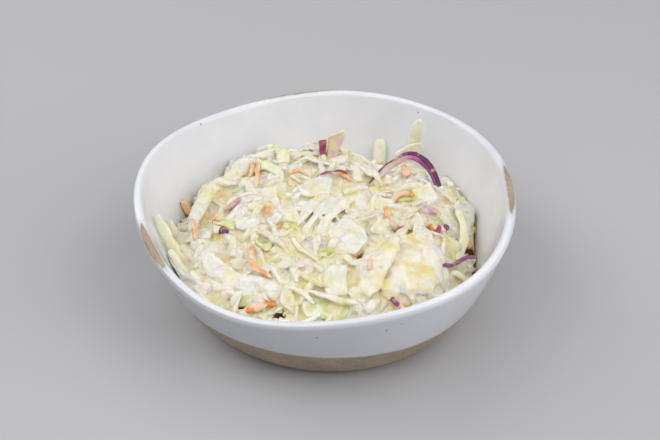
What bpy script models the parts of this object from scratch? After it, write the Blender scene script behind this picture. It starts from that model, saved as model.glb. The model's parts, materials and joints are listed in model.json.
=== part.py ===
"""Coleslaw in a hand-thrown stoneware bowl.

The bowl is one fired piece: a soft three-cornered plan, a rim that rises and dips,
a round lip and a flat foot. The salad is one solid: a low heap that fills the bowl
to about half of its wall, with tufts all over it and its largest pieces standing
out of it. Lengths below are in millimetres and angles in degrees. The origin is the
middle of the foot, +Z is up, and the low part of the rim faces -Y.
"""

import math
import random

import bmesh
import bpy
from mathutils import Vector

MM = 0.001
GOLDEN_ANGLE = math.pi * (3 - math.sqrt(5))  # spaces points evenly on a spiral

# Bowl
RIM_RADIUS = 82.5
CORNERS = ((3, 3.0, 69.0),)  # three soft corners, this far outside the round
RIM_HEIGHT = 52.8
RIM_WAVES = (  # waves round the rim, height of each, direction of a crest
    (1, 3.3, 65.0),
    (2, 5.8, -20.0),
    (3, 1.9, 50.0),
    (4, 1.4, 5.0),
)
FOOT_RADIUS = 56.0
FLARE = 0.59  # the wall widens with this power of its height
WALL = 4.2
SECTORS = 54
WALL_RINGS = 7
LIP_STEPS = 4

# Heap of salad
GAP = 0.3  # between the salad and the glaze
FILL = 0.47  # height of the salad's edge, as a share of the wall's
FILL_WAVES = ((4, 0.08, 121.0), (1, 0.03, 200.0))
SHOULDER_HEIGHT = 30.0
CROWN_HEIGHT = 38.0
EDGE_POWER = 9  # how abruptly the heap drops beside the wall
HUMPS = (  # x, y, height, radius
    (-30.0, 42.0, 5.0, 27.0),
    (-6.0, 42.0, 4.0, 26.0),
    (30.0, 52.0, -6.0, 21.0),
    (48.0, 18.0, 4.0, 24.0),
    (30.0, -26.0, 3.5, 26.0),
    (-38.0, -10.0, 3.0, 26.0),
    (-8.0, -56.0, -3.0, 22.0),
)
TUFTS = 110
TUFT_SPREAD = 66.0  # radius of the circle that the tufts fill
TUFT_HEIGHT = 3.2
TUFT_RADIUS = 8.5
TUFT_SEED = 11
TOP_RINGS = 12
SIDE_RINGS = 4

UP = Vector((0, 0, 1))
FRONT = Vector((0, -1, 0.4))
STANDING_PIECES = ("pink wedge",)  # these face the front, and the others face up
# Largest pieces: where each runs on the heap as (x, y, height above the heap's top),
# its width at both ends, its thickness, and how far its long edges droop
LARGE_PIECES = {
    "purple arch": (
        ((18, 30, -1), (26, 38, 4.5), (37, 42, 11), (46, 35, 7), (51.5, 23, -1)),
        (2.6, 3.4, 2.0, 0.0),
    ),
    "pink wedge": (((-1, 50, -3), (1, 51, 4), (5, 52, 13)), (13.0, 4.0, 2.0, 0.0)),
    "long stem": (
        ((-61, -6, -1), (-60, 5, 2), (-55.5, 21, 2.5), (-47, 34, 0)),
        (5.0, 6.0, 3.6, 0.5),
    ),
    "back strip": (((-41, 44, 0), (-25, 54, 1.5), (-9, 58, 0)), (4.0, 4.0, 1.8, 0.3)),
    "back block": (((-24, 56, 0), (-22, 46, 2), (-21, 38, 0)), (5.0, 6.0, 2.6, 0.5)),
    "rib chip": (((-19, 20, 0), (-9, 19, 2.2), (1, 18, 0)), (4.0, 9.0, 2.4, 0.6)),
    "left diagonal": (((3, 23, 0), (-8, 6, 2), (-18, -10, 0)), (5.0, 3.5, 2.0, 0.5)),
    "right diagonal": (((11, 20, 0), (1, 4, 2), (-8, -14, 0)), (4.0, 4.0, 2.0, 0.5)),
    "flat chip": (((0, -15, 0.5), (8, -15, 2.4), (17, -14, 0.5)), (12.0, 15.0, 1.8, 1.0)),
    "creamy leaf": (
        ((12, -40, -1), (20, -38, 2), (30, -35, 3), (41, -32, 2), (48, -30, -1)),
        (20.0, 24.0, 2.2, 3.5),
    ),
    "pink edged strip": (((27, -24, 0), (36, -12, 3), (45, 0, 0)), (5.0, 3.6, 2.4, 0.4)),
    "right curl": (((57, 10, 0), (60.5, -2, 3), (56, -18, 0)), (4.0, 4.0, 2.0, 0.3)),
    "purple shred": (((46, -35, -1), (54, -26, 2), (60.5, -17, 0)), (2.8, 2.4, 1.8, 0.0)),
    "left leaf": (((-57, -20, 0), (-40, -36, 2.5), (-22, -43, 0)), (8.0, 10.0, 2.0, 1.5)),
    "front chunk": (((2, -36, 0), (2, -43, 2.5), (1, -51, 0)), (9.0, 8.0, 3.6, 0.5)),
    "front shred": (((-9, -46, 0), (1, -52, 2), (11, -56, 0)), (3.0, 3.0, 1.8, 0.2)),
}
# Pieces with one edge on the wall, facing the front: angle and share of the wall's
# height at foot and top, width at both ends, and thickness
LEANING_PIECES = {
    "green blade": ((56.5, 0.40), (59.0, 0.89), (6.0, 2.4, 1.8)),
    "pale spike": ((68.5, 0.30), (71.0, 0.62), (4.4, 2.4, 1.4)),
    "outer left leaf": ((199.0, 0.30), (187.0, 0.84), (6.0, 4.0, 1.4)),
    "inner left leaf": ((190.0, 0.22), (179.0, 0.60), (5.0, 3.4, 1.4)),
}
PATH_STEPS = 3  # to each stretch of a path

# Shreds all over the heap, between its largest pieces
SHREDS = 27
SHRED_SPREAD = 60.0  # radius of the circle that they fill
SHRED_STEPS = 4
SHRED_LENGTH = 24.0
SHRED_WIDTH = 4.2
SHRED_THICKNESS = 2.2
SHRED_SEED = 5

# Section of a strip: across in half widths, then up in thicknesses and in droops
SECTION = (
    (-1.0, -0.2, -1.0),
    (-0.6, -0.5, -0.5),
    (0.6, -0.5, -0.5),
    (1.0, 0.2, -1.0),
    (0.5, 0.5, 0.0),
    (-0.5, 0.5, 0.0),
)

GLAZE_COLOUR = (0.78, 0.78, 0.79)
SALAD_COLOUR = (0.80, 0.75, 0.60)


def waves(angle, terms):
    """Sum of the waves at an angle, in radians, round the bowl."""
    return sum(
        height * math.cos(count * (angle - math.radians(crest)))
        for count, height, crest in terms
    )


def wall_point(angle, rise, inset):
    """(radius, height) at a share of the wall's height, this far in from its outside."""
    spread = RIM_RADIUS + waves(angle, CORNERS) - FOOT_RADIUS
    top = RIM_HEIGHT + waves(angle, RIM_WAVES) - 0.65 * WALL
    rise = max(rise, 1e-4)
    out = spread * FLARE * rise ** (FLARE - 1)
    length = math.hypot(out, top)
    radius = FOOT_RADIUS + spread * rise**FLARE - inset * top / length
    return radius, rise * top + inset * out / length


def lip_point(angle, turn):
    """(radius, height) on the half round of the lip, from outside (0) to inside (1)."""
    outer = Vector(wall_point(angle, 1.0, 0.0))
    inner = Vector(wall_point(angle, 1.0, WALL))
    middle = (outer + inner) / 2
    across = (outer - inner) / 2
    along = Vector((-across.y, across.x))
    turn *= math.pi
    return middle + across * math.cos(turn) + along * math.sin(turn)


def loop_of(point_at):
    """A closed loop of points, from a function of the angle that gives (radius, height)."""
    loop = []
    for sector in range(SECTORS):
        angle = math.tau * sector / SECTORS
        radius, height = point_at(angle)
        loop.append((radius * math.cos(angle), radius * math.sin(angle), height))
    return loop


def skin(name, loops, first_centre, last_centre, colour, roughness):
    """A closed mesh over a stack of loops, with a fan to a centre point at each end."""
    mesh = bmesh.new()
    rows = [[mesh.verts.new(Vector(point) * MM) for point in loop] for loop in loops]
    for near, far in zip(rows, rows[1:]):
        for i in range(SECTORS):
            j = (i + 1) % SECTORS
            mesh.faces.new((near[i], near[j], far[j], far[i]))
    for row, centre in ((rows[0], first_centre), (rows[-1], last_centre)):
        middle = mesh.verts.new(Vector(centre) * MM)
        for i in range(SECTORS):
            mesh.faces.new((row[i], row[(i + 1) % SECTORS], middle))
    return finish(name, mesh, colour, roughness)


def finish(name, mesh, colour, roughness):
    """The object of a bmesh, facing out, smooth where it is round, with its material."""
    bmesh.ops.recalc_face_normals(mesh, faces=mesh.faces)
    data = bpy.data.meshes.new(name)
    mesh.to_mesh(data)
    mesh.free()
    data.shade_smooth()
    material = bpy.data.materials.new(name)
    material.use_nodes = True
    surface = material.node_tree.nodes["Principled BSDF"]
    surface.inputs["Base Color"].default_value = (*colour, 1.0)
    surface.inputs["Roughness"].default_value = roughness
    surface.inputs["Metallic"].default_value = 0.0
    data.materials.append(material)
    obj = bpy.data.objects.new(name, data)
    bpy.context.scene.collection.objects.link(obj)
    return obj


def make_bowl():
    outside = [(step / WALL_RINGS) ** 2 for step in range(WALL_RINGS + 1)]
    loops = [loop_of(lambda angle: (FOOT_RADIUS, 0.0))]
    for rise in outside[1:]:
        loops.append(loop_of(lambda angle: wall_point(angle, rise, 0.0)))
    for step in range(1, LIP_STEPS):
        loops.append(loop_of(lambda angle: lip_point(angle, step / LIP_STEPS)))
    for rise in reversed(outside):
        loops.append(loop_of(lambda angle: wall_point(angle, rise, WALL)))
    return skin("bowl", loops, (0, 0, 0), (0, 0, WALL), GLAZE_COLOUR, 0.2)


def tufts():
    """(x, y, height) of each tuft, on a sunflower spiral so that they are even."""
    chance = random.Random(TUFT_SEED)
    places = []
    for i in range(TUFTS):
        radius = TUFT_SPREAD * math.sqrt((i + 0.5) / TUFTS)
        angle = GOLDEN_ANGLE * i + chance.uniform(-0.25, 0.25)
        height = TUFT_HEIGHT * chance.uniform(-0.7, 1.0)
        places.append((radius * math.cos(angle), radius * math.sin(angle), height))
    return places


def bump(distance, radius):
    """A smooth mound of height 1 that ends at its radius."""
    return (1 - (distance / radius) ** 2) ** 2 if distance < radius else 0.0


def heap_edge(angle):
    """(radius, height) where the top of the salad meets the bowl."""
    return wall_point(angle, FILL + waves(angle, FILL_WAVES), WALL + GAP)


def heap_height(x, y, places):
    """Height of the heap's top at a point on plan."""
    edge_radius, edge_height = heap_edge(math.atan2(y, x))
    share = min(math.hypot(x, y) / edge_radius, 1.0)
    height = CROWN_HEIGHT + (SHOULDER_HEIGHT - CROWN_HEIGHT) * share**2
    for hump_x, hump_y, rise, radius in HUMPS:
        height += rise * bump(math.hypot(x - hump_x, y - hump_y), radius)
    for tuft_x, tuft_y, rise in places:
        height += rise * bump(math.hypot(x - tuft_x, y - tuft_y), TUFT_RADIUS)
    return height + (edge_height - height) * share**EDGE_POWER


def make_heap(places):
    def side_point(angle, share):
        edge = FILL + waves(angle, FILL_WAVES)
        return wall_point(angle, share * edge, WALL + GAP)

    def top_point(angle, share):
        radius = share * heap_edge(angle)[0]
        x, y = radius * math.cos(angle), radius * math.sin(angle)
        return radius, heap_height(x, y, places)

    loops = []
    for step in range(SIDE_RINGS):
        share = (step / SIDE_RINGS) ** 2
        loops.append(loop_of(lambda angle: side_point(angle, share)))
    loops.append(loop_of(heap_edge))
    for step in range(1, TOP_RINGS):
        share = 1 - step / TOP_RINGS
        loops.append(loop_of(lambda angle: top_point(angle, share)))
    floor = (0, 0, WALL + GAP)
    top = (0, 0, heap_height(0, 0, places))
    return skin("coleslaw", loops, floor, top, SALAD_COLOUR, 0.5)


def smooth_path(points, steps):
    """Points on a Catmull-Rom curve through the given ones."""
    points = [Vector(point) for point in points]
    ends = [2 * points[0] - points[1], *points, 2 * points[-1] - points[-2]]
    path = []
    for before, start, end, after in zip(ends, ends[1:], ends[2:], ends[3:]):
        for step in range(steps):
            t = step / steps
            path.append(
                0.5
                * (
                    2 * start
                    + (end - before) * t
                    + (2 * before - 5 * start + 4 * end - after) * t**2
                    + (3 * start - before - 3 * end + after) * t**3
                )
            )
    return [*path, points[-1]]


def strip(name, path, face, size, helpers):
    """A flat strip along a path: six-sided in section, with thin drooping edges."""
    width, tip_width, thickness, droop = size
    mesh = bmesh.new()
    rows = []
    for i, point in enumerate(path):
        along = path[min(i + 1, len(path) - 1)] - path[max(i - 1, 0)]
        side = along.cross(face).normalized()
        up = side.cross(along).normalized()
        share = i / (len(path) - 1)
        half = (width + (tip_width - width) * share) / 2
        row = []
        for across, rise, sag in SECTION:
            corner = point + side * half * across + up * (rise * thickness + sag * droop)
            row.append(mesh.verts.new(corner * MM))
        rows.append(row)
    for near, far in zip(rows, rows[1:]):
        for i in range(len(near)):
            j = (i + 1) % len(near)
            mesh.faces.new((near[i], near[j], far[j], far[i]))
    mesh.faces.new(rows[0])
    mesh.faces.new(rows[-1])
    bmesh.ops.recalc_face_normals(mesh, faces=mesh.faces)
    data = bpy.data.meshes.new(name)
    mesh.to_mesh(data)
    mesh.free()
    obj = bpy.data.objects.new(name, data)
    obj.hide_render = True
    obj.display_type = "WIRE"
    helpers.objects.link(obj)


def inside_bowl(point, margin):
    """The point, moved in where it is nearer than the margin to the glaze."""
    angle = math.atan2(point.y, point.x)
    low, high = 0.0, 1.0
    for _ in range(20):
        middle = (low + high) / 2
        if wall_point(angle, middle, WALL)[1] < point.z:
            low = middle
        else:
            high = middle
    limit = wall_point(angle, low, WALL)[0] - margin
    radius = math.hypot(point.x, point.y)
    scale = min(1.0, limit / radius) if radius > 1 else 1.0
    return Vector((point.x * scale, point.y * scale, point.z))


def on_heap(x, y, lift, places):
    return Vector((x, y, heap_height(x, y, places) + lift))


def make_large_pieces(places, helpers):
    for name, (points, size) in LARGE_PIECES.items():
        width, tip_width, thickness, droop = size
        path = smooth_path([on_heap(*point, places) for point in points], PATH_STEPS)
        margin = GAP + thickness + 0.5 * min(width, 4.0)
        path = [inside_bowl(point, margin) for point in path]
        face = FRONT if name in STANDING_PIECES else UP
        strip(name, path, face, size, helpers)


def make_leaning_pieces(helpers):
    for name, (foot, top, (width, tip_width, thickness)) in LEANING_PIECES.items():
        inset = WALL + GAP + 0.5 * (max(width, tip_width) + thickness)
        path = []
        for step in range(PATH_STEPS + 1):
            share = step / PATH_STEPS
            angle = math.radians(foot[0] + (top[0] - foot[0]) * share)
            rise = foot[1] + (top[1] - foot[1]) * share
            radius, height = wall_point(angle, rise, inset)
            path.append(Vector((radius * math.cos(angle), radius * math.sin(angle), height)))
        strip(name, path, FRONT, (width, tip_width, thickness, 0.0), helpers)


def make_shreds(places, helpers):
    """Bent shreds in every direction, each with its middle up and its ends sunk."""
    chance = random.Random(SHRED_SEED)
    for i in range(SHREDS):
        radius = SHRED_SPREAD * math.sqrt((i + 0.5) / SHREDS)
        x, y = radius * math.cos(GOLDEN_ANGLE * i), radius * math.sin(GOLDEN_ANGLE * i)
        heading = chance.uniform(0, math.tau)
        half = SHRED_LENGTH * chance.uniform(0.3, 0.6)
        bend = chance.uniform(-0.25, 0.25) * half
        peak = chance.uniform(0.8, 2.2)
        path = []
        for step in range(SHRED_STEPS + 1):
            s = 2 * step / SHRED_STEPS - 1
            across = bend * (1 - s * s)
            path_x = x + s * half * math.cos(heading) - across * math.sin(heading)
            path_y = y + s * half * math.sin(heading) + across * math.cos(heading)
            lift = peak - (peak + 1.2) * s * s
            point = on_heap(path_x, path_y, lift, places)
            path.append(inside_bowl(point, 0.5 * SHRED_WIDTH + SHRED_THICKNESS))
        width = SHRED_WIDTH * chance.uniform(0.6, 1.4)
        tip_width = width * chance.uniform(0.5, 1.0)
        strip(f"shred {i}", path, UP, (width, tip_width, SHRED_THICKNESS, 0.3), helpers)


def join_pieces(heap, helpers):
    """Makes the heap and its pieces one solid, with the voids shut in under them filled."""
    modifier = heap.modifiers.new("pieces", "BOOLEAN")
    modifier.operation = "UNION"
    modifier.operand_type = "COLLECTION"
    modifier.collection = helpers
    modifier.solver = "EXACT"
    graph = bpy.context.evaluated_depsgraph_get()
    joined = bpy.data.meshes.new_from_object(heap.evaluated_get(graph))
    heap.modifiers.remove(modifier)
    mesh = bmesh.new()
    mesh.from_mesh(joined)
    bmesh.ops.triangulate(mesh, faces=mesh.faces)
    shells = []
    left = set(mesh.verts)
    while left:
        shell, edge = set(), [left.pop()]
        while edge:
            point = edge.pop()
            shell.add(point)
            near = {link.other_vert(point) for link in point.link_edges} & left
            left -= near
            edge.extend(near)
        shells.append(shell)
    shells.sort(key=len)
    voids = [point for shell in shells[:-1] for point in shell]
    bmesh.ops.delete(mesh, geom=voids, context="VERTS")
    mesh.to_mesh(joined)
    mesh.free()
    heap.data = joined
    for helper in list(helpers.objects):
        bpy.data.objects.remove(helper, do_unlink=True)
    bpy.data.collections.remove(helpers)


def main():
    for obj in list(bpy.data.objects):
        bpy.data.objects.remove(obj, do_unlink=True)
    helpers = bpy.data.collections.new("pieces")
    bpy.context.scene.collection.children.link(helpers)
    make_bowl()
    places = tufts()
    make_large_pieces(places, helpers)
    make_leaning_pieces(helpers)
    make_shreds(places, helpers)
    join_pieces(make_heap(places), helpers)


main()
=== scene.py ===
"""Looks of the coleslaw in its stoneware bowl: glaze, bare clay, shreds and dressing.

The bowl is turned from the same sizes as its solid, with a finer mesh. The salad is
a mass of cut cabbage scattered over a smooth heap, with its largest pieces placed one
by one, and a coat of dressing that fills the hollows between them. Lengths are in
millimetres and angles in degrees, and a mesh is turned to metres when it is made.
"""

import json
import math
import random

import bmesh
import bpy
import numpy as np
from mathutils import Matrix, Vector, noise
from mathutils.kdtree import KDTree

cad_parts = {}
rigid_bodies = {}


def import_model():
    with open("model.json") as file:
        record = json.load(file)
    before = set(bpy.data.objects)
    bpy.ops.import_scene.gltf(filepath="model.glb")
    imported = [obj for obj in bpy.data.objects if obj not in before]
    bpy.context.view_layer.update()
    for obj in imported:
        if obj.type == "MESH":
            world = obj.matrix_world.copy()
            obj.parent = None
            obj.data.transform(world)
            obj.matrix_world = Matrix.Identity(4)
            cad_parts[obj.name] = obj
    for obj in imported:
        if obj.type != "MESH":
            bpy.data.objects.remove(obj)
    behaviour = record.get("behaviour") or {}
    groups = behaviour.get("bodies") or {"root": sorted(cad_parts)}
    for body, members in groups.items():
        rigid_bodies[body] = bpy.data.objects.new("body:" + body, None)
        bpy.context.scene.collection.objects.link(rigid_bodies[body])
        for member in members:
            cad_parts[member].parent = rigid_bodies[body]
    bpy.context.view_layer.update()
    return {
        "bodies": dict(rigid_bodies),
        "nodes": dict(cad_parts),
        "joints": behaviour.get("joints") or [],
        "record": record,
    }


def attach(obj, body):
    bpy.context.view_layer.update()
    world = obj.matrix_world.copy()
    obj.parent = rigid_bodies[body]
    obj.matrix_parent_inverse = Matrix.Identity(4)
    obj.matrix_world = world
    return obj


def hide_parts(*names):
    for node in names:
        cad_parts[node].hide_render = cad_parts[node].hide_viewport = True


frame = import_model()

MM = 0.001

# Bowl, as its solid
RIM_RADIUS = 82.5
CORNERS = ((3, 3.0, 69.0),)
RIM_HEIGHT = 52.8
RIM_WAVES = ((1, 3.3, 65.0), (2, 5.8, -20.0), (3, 1.9, 50.0), (4, 1.4, 5.0))
FOOT_RADIUS = 56.0
FLARE = 0.59
WALL = 4.2
BOWL_SECTORS = 300
BOWL_RINGS = 44
LIP_STEPS = 12

# Glaze
DIP_LINE = 21.4  # height to which the bowl was dipped
GLAZE_DEPTH = 0.25
PAINTED_LIGHT_FACING = -25.0  # direction in which the painted shade on the outside is lightest
BARE_SPOTS = (  # direction, turn over the lip (0 outside, 1 inside), length, width
    (204.5, 0.55, 26.0, 3.9),
    (-3.0, 0.54, 36.0, 3.2),
    (102.0, 0.48, 38.0, 2.0),
)

# Heap of salad, as its solid
FILL = 0.47
FILL_WAVES = ((4, 0.08, 121.0), (1, 0.03, 200.0))
SHOULDER_HEIGHT = 30.0
CROWN_HEIGHT = 38.0
EDGE_POWER = 9
HUMPS = (
    (-30.0, 42.0, 5.0, 27.0),
    (-6.0, 42.0, 4.0, 26.0),
    (30.0, 52.0, -6.0, 21.0),
    (48.0, 18.0, 4.0, 24.0),
    (30.0, -26.0, 3.5, 26.0),
    (-38.0, -10.0, 3.0, 26.0),
    (-8.0, -56.0, -3.0, 22.0),
)
WALL_CLEARANCE = 0.5  # between any shred and the glaze

# Pile of cut pieces
PILE_GRID = 0.5
PILE_REACH = 84.0
TUFTS = 90
TUFT_HEIGHT = 2.4
TOPPING = 215  # tries at strewing a small piece between the large ones
TOPPING_OFF_GAPS = 4.5
KINDS = {
    "shred": dict(
        length=(7.0, 19.0), width=(2.2, 4.6), thickness=(0.9, 1.6), bend=0.4, stray=0.9,
        taper=0.25, rough=0.12, lift=(0.0, 1.4), kick=1.6, stiff=(0.3, 0.95), roll=0.35,
        points=10,
    ),
    "leaf": dict(
        length=(8.0, 18.0), width=(3.6, 8.0), thickness=(0.6, 1.0), bend=0.9, stray=1.3,
        taper=0.45, rough=0.2, lift=(0.0, 1.6), kick=2.2, stiff=(0.2, 0.6), roll=0.45,
        points=9,
    ),
    "rib": dict(
        length=(5.0, 11.0), width=(2.8, 5.2), thickness=(1.8, 3.0), bend=0.2, stray=1.6,
        taper=0.35, rough=0.08, lift=(0.0, 0.3), kick=0.6, stiff=(0.6, 1.0), roll=0.3,
        points=6,
    ),
}  # fmt: skip
CHIPS = {
    "flake": dict(
        length=(5.0, 12.5), width=(3.6, 8.5), thickness=(1.0, 1.8), stiff=(0.35, 0.95),
        cup=1.0, kick=2.0,
    ),
    "scrap": dict(
        length=(4.0, 11.0), width=(3.0, 7.0), thickness=(0.6, 1.1), stiff=(0.2, 0.8),
        cup=1.4, kick=2.4,
    ),
}  # fmt: skip
CHIP_SIDES = 12
CHIP_LOOPS = ((1.0, 0.45), (0.84, 0.95), (0.42, 1.0))  # share out, share of thickness
LARGE_SIDES = 48
LARGE_LOOPS = (
    (1.0, 0.4), (0.96, 0.8), (0.9, 1.0), (0.78, 1.0), (0.62, 1.0), (0.45, 1.0), (0.25, 1.0),
)  # fmt: skip
MIX = (("shred", 0.26), ("flake", 0.36), ("leaf", 0.09), ("scrap", 0.18), ("rib", 0.11))

# Flesh colours of each kind over its tone
WHITE_STOPS = ((0.0, "#f3e0b6"), (0.3, "#f9eed6"), (0.65, "#fbf6ee"), (1.0, "#eeebc2"))
GREEN_STOPS = ((0.0, "#cfd083"), (0.3, "#dfe0a8"), (0.6, "#edecc6"), (1.0, "#f8f4de"))
CARROT_STOPS = ((0.0, "#ea8036"), (0.5, "#f3a052"), (1.0, "#f7c793"))
RED_STOPS = (
    (0.0, "#6b2a58"), (0.16, "#8d5a86"), (0.32, "#a03c7c"), (0.55, "#c0609a"), (0.85, "#dcaebd"),
    (1.0, "#e6cdd2"),
)  # fmt: skip
PALE_STOPS = ((0.0, "#e4c6cf"), (0.5, "#f3e2dc"), (1.0, "#f8eee3"))
STOPS = {
    "shred": WHITE_STOPS, "flake": WHITE_STOPS, "rib": WHITE_STOPS, "white": WHITE_STOPS,
    "cream": WHITE_STOPS, "leaf": GREEN_STOPS, "scrap": GREEN_STOPS, "green": GREEN_STOPS,
    "carrot": CARROT_STOPS, "red": RED_STOPS, "slab": WHITE_STOPS, "lilac": PALE_STOPS,
    "skin": RED_STOPS, "blade": GREEN_STOPS,
}  # fmt: skip
BARE_KINDS = ("green", "carrot", "red", "lilac", "skin", "blade")  # with no thick dressing

# Gaps between pieces: x, y, length, width, direction, depth
GAPS = (
    (-39.5, -46.4, 8.5, 4.6, -14, 4.6),
    (-21.5, -51.8, 6.5, 5.6, 20, 4.6),
    (-25.4, -42.7, 6.0, 4.0, 30, 1.6),
    (-27.0, -47.6, 7.0, 3.6, 15, 4.0),
    (12.5, -24.8, 6.0, 4.0, 40, 2.4),
    (12.4, 1.1, 8.0, 2.6, 5, 3.4),
    (-16.3, -6.2, 5.0, 3.6, 0, 2.0),
    (-11.7, -18.6, 3.4, 4.4, 0, 1.8),
    (-1.7, -24.2, 6.0, 2.6, 15, 1.8),
    (-14.7, 6.4, 2.2, 6.0, 0, 2.0),
    (-66.1, 0.3, 4.0, 6.0, 0, 3.0),
    (-64.0, -22.0, 3.4, 12.0, 25, 3.0),
    (-58.3, -26.0, 2.6, 5.0, 30, 2.0),
    (26.4, -17.5, 6.0, 3.4, 30, 1.8),
    (34.5, -12.5, 3.0, 2.2, 0, 2.0),
    (30.0, -3.1, 8.0, 3.0, 30, 1.8),
    (61.5, -6.0, 6.0, 13.0, -10, 4.6),
    (33.6, -50.4, 11.0, 3.4, 8, 2.4),
    (49.5, -38.5, 5.0, 2.4, 40, 2.0),
    (-26.1, 32.5, 4.6, 3.0, -30, 2.4),
    (-37.2, 31.8, 3.4, 6.0, -20, 2.0),
    (-11.3, 15.0, 5.0, 2.2, -10, 1.8),
    (20.0, 27.0, 8.0, 3.0, -10, 2.0),
)

# Dressing
COAT_VOXEL = 0.6
COAT_SMOOTHING = 4
COAT_DRAWN_BACK = 0.0
COAT_TRIANGLES = 190000  # where it is smooth it needs fewer than its voxels give
CORE_DROP = 1.1
CREAMY_SPOT = (31.0, -33.0, 24.0)  # thickest dressing: x, y, radius
CREAMY_DEPTH = 0.65
PAINTED_SHADE_DEPTHS = (1.7, 7.0)  # painted shade by depth below the top of the salad: none, then darkest in a gap

# Camera and room
CAMERA_DISTANCE = 690.0
CAMERA_ELEVATION = 38.0
CAMERA_TARGET = (0.0, 0.0, 37.4)
FOCAL_LENGTH = 85.0


def waves(angle, terms):
    """Sum of the waves at an angle, in radians, round the bowl."""
    total = np.zeros_like(np.asarray(angle, float))
    for count, height, crest in terms:
        total = total + height * np.cos(count * (angle - math.radians(crest)))
    return total


def wall_point(angle, rise, inset):
    """(radius, height) at a share of the wall's height, this far in from its outside."""
    spread = RIM_RADIUS + waves(angle, CORNERS) - FOOT_RADIUS
    top = RIM_HEIGHT + waves(angle, RIM_WAVES) - 0.65 * WALL
    rise = np.maximum(rise, 1e-4)
    out = spread * FLARE * rise ** (FLARE - 1)
    length = np.hypot(out, top)
    radius = FOOT_RADIUS + spread * rise**FLARE - inset * top / length
    return radius, rise * top + inset * out / length


def bump(distance, radius):
    """A smooth mound of height 1 that ends at its radius."""
    return np.clip(1 - (distance / radius) ** 2, 0, 1) ** 2


def heap_edge(angle):
    """(radius, height) where the top of the salad meets the bowl."""
    return wall_point(angle, FILL + waves(angle, FILL_WAVES), WALL + 0.3)


def heap_height(x, y):
    """Height of the smooth heap at a point on plan, or of arrays of points."""
    edge_radius, edge_height = heap_edge(np.arctan2(y, x))
    share = np.minimum(np.hypot(x, y) / edge_radius, 1.0)
    height = CROWN_HEIGHT + (SHOULDER_HEIGHT - CROWN_HEIGHT) * share**2
    for hump_x, hump_y, rise, radius in HUMPS:
        height = height + rise * bump(np.hypot(x - hump_x, y - hump_y), radius)
    return height + (edge_height - height) * share**EDGE_POWER


def inner_radius(angle, height, inset):
    """Radius of the bowl's inner face, moved in by the inset, at a height."""
    low = np.zeros_like(angle)
    high = np.ones_like(angle)
    for _ in range(18):
        middle = (low + high) / 2
        below = wall_point(angle, middle, WALL)[1] < height
        low = np.where(below, middle, low)
        high = np.where(below, high, middle)
    return wall_point(angle, low, WALL + inset)[0]


def gap_share(points):
    """How far into a gap each point lies on plan, from 0 outside to 1 at its middle,
    and the depth of that gap."""
    share, depth = np.zeros(len(points)), np.zeros(len(points))
    for x, y, length, width, direction, fall in GAPS:
        turn = math.radians(direction)
        off_x, off_y = points[:, 0] - x, points[:, 1] - y
        along = (off_x * math.cos(turn) + off_y * math.sin(turn)) / (length / 2)
        across = (off_y * math.cos(turn) - off_x * math.sin(turn)) / (width / 2)
        here = np.clip(1.6 * (1 - np.hypot(along, across)), 0, 1)
        depth = np.maximum(depth, here * fall)
        share = np.maximum(share, here)
    return share, depth


def near_gap(spot, reach):
    """Whether a gap lies within this reach of a place."""
    turns = np.arange(6) * math.tau / 6
    round_spot = np.stack([spot[0] + reach * np.cos(turns), spot[1] + reach * np.sin(turns)], 1)
    return bool((gap_share(round_spot)[0] > 0).any())


def dent(points):
    """Points in mm, pressed down where the gaps between pieces are."""
    points = points.copy()
    points[:, 2] -= gap_share(points)[1]
    return points


def keep_in_bowl(points, clearance=WALL_CLEARANCE):
    """Points in mm, with those too near the glaze moved in to it or up off the floor."""
    angle = np.arctan2(points[:, 1], points[:, 0])
    radius = np.hypot(points[:, 0], points[:, 1])
    limit = inner_radius(angle, points[:, 2], clearance)
    scale = np.where(radius > limit, limit / np.maximum(radius, 1.0), 1.0)
    points = points.copy()
    points[:, 0] *= scale
    points[:, 1] *= scale
    points[:, 2] = np.maximum(points[:, 2], WALL + clearance)
    return points


# ---------------------------------------------------------------- node trees


def add(tree, kind, inputs=None, **settings):
    """Adds a node with its settings, and sets or links its inputs by name or number."""
    made = tree.nodes.new(kind)
    for name, value in settings.items():
        setattr(made, name, value)
    for key, value in (inputs or {}).items():
        if isinstance(value, bpy.types.Node):
            value = next(socket for socket in value.outputs if socket.enabled)
        if isinstance(value, bpy.types.NodeSocket):
            tree.links.new(value, made.inputs[key])
        else:
            made.inputs[key].default_value = value
    return made


def srgb(code):
    """A hex colour as a linear colour with alpha."""
    parts = [int(code[i : i + 2], 16) / 255 for i in (1, 3, 5)]
    return (*[c / 12.92 if c <= 0.04045 else ((c + 0.055) / 1.055) ** 2.4 for c in parts], 1.0)


def new_material(name):
    material = bpy.data.materials.new(name)
    material.use_nodes = True
    tree = material.node_tree
    tree.nodes.clear()
    return material, tree


def finish_material(tree, surface):
    add(tree, "ShaderNodeOutputMaterial", {"Surface": surface})


def ramp(tree, value, stops):
    """A colour ramp over (place, hex colour) stops."""
    made = add(tree, "ShaderNodeValToRGB", {"Fac": value})
    points = made.color_ramp.elements
    while len(points) < len(stops):
        points.new(0.5)
    for point, (place, code) in zip(points, stops):
        point.position = place
        point.color = srgb(code)
    return made.outputs["Color"]


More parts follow.
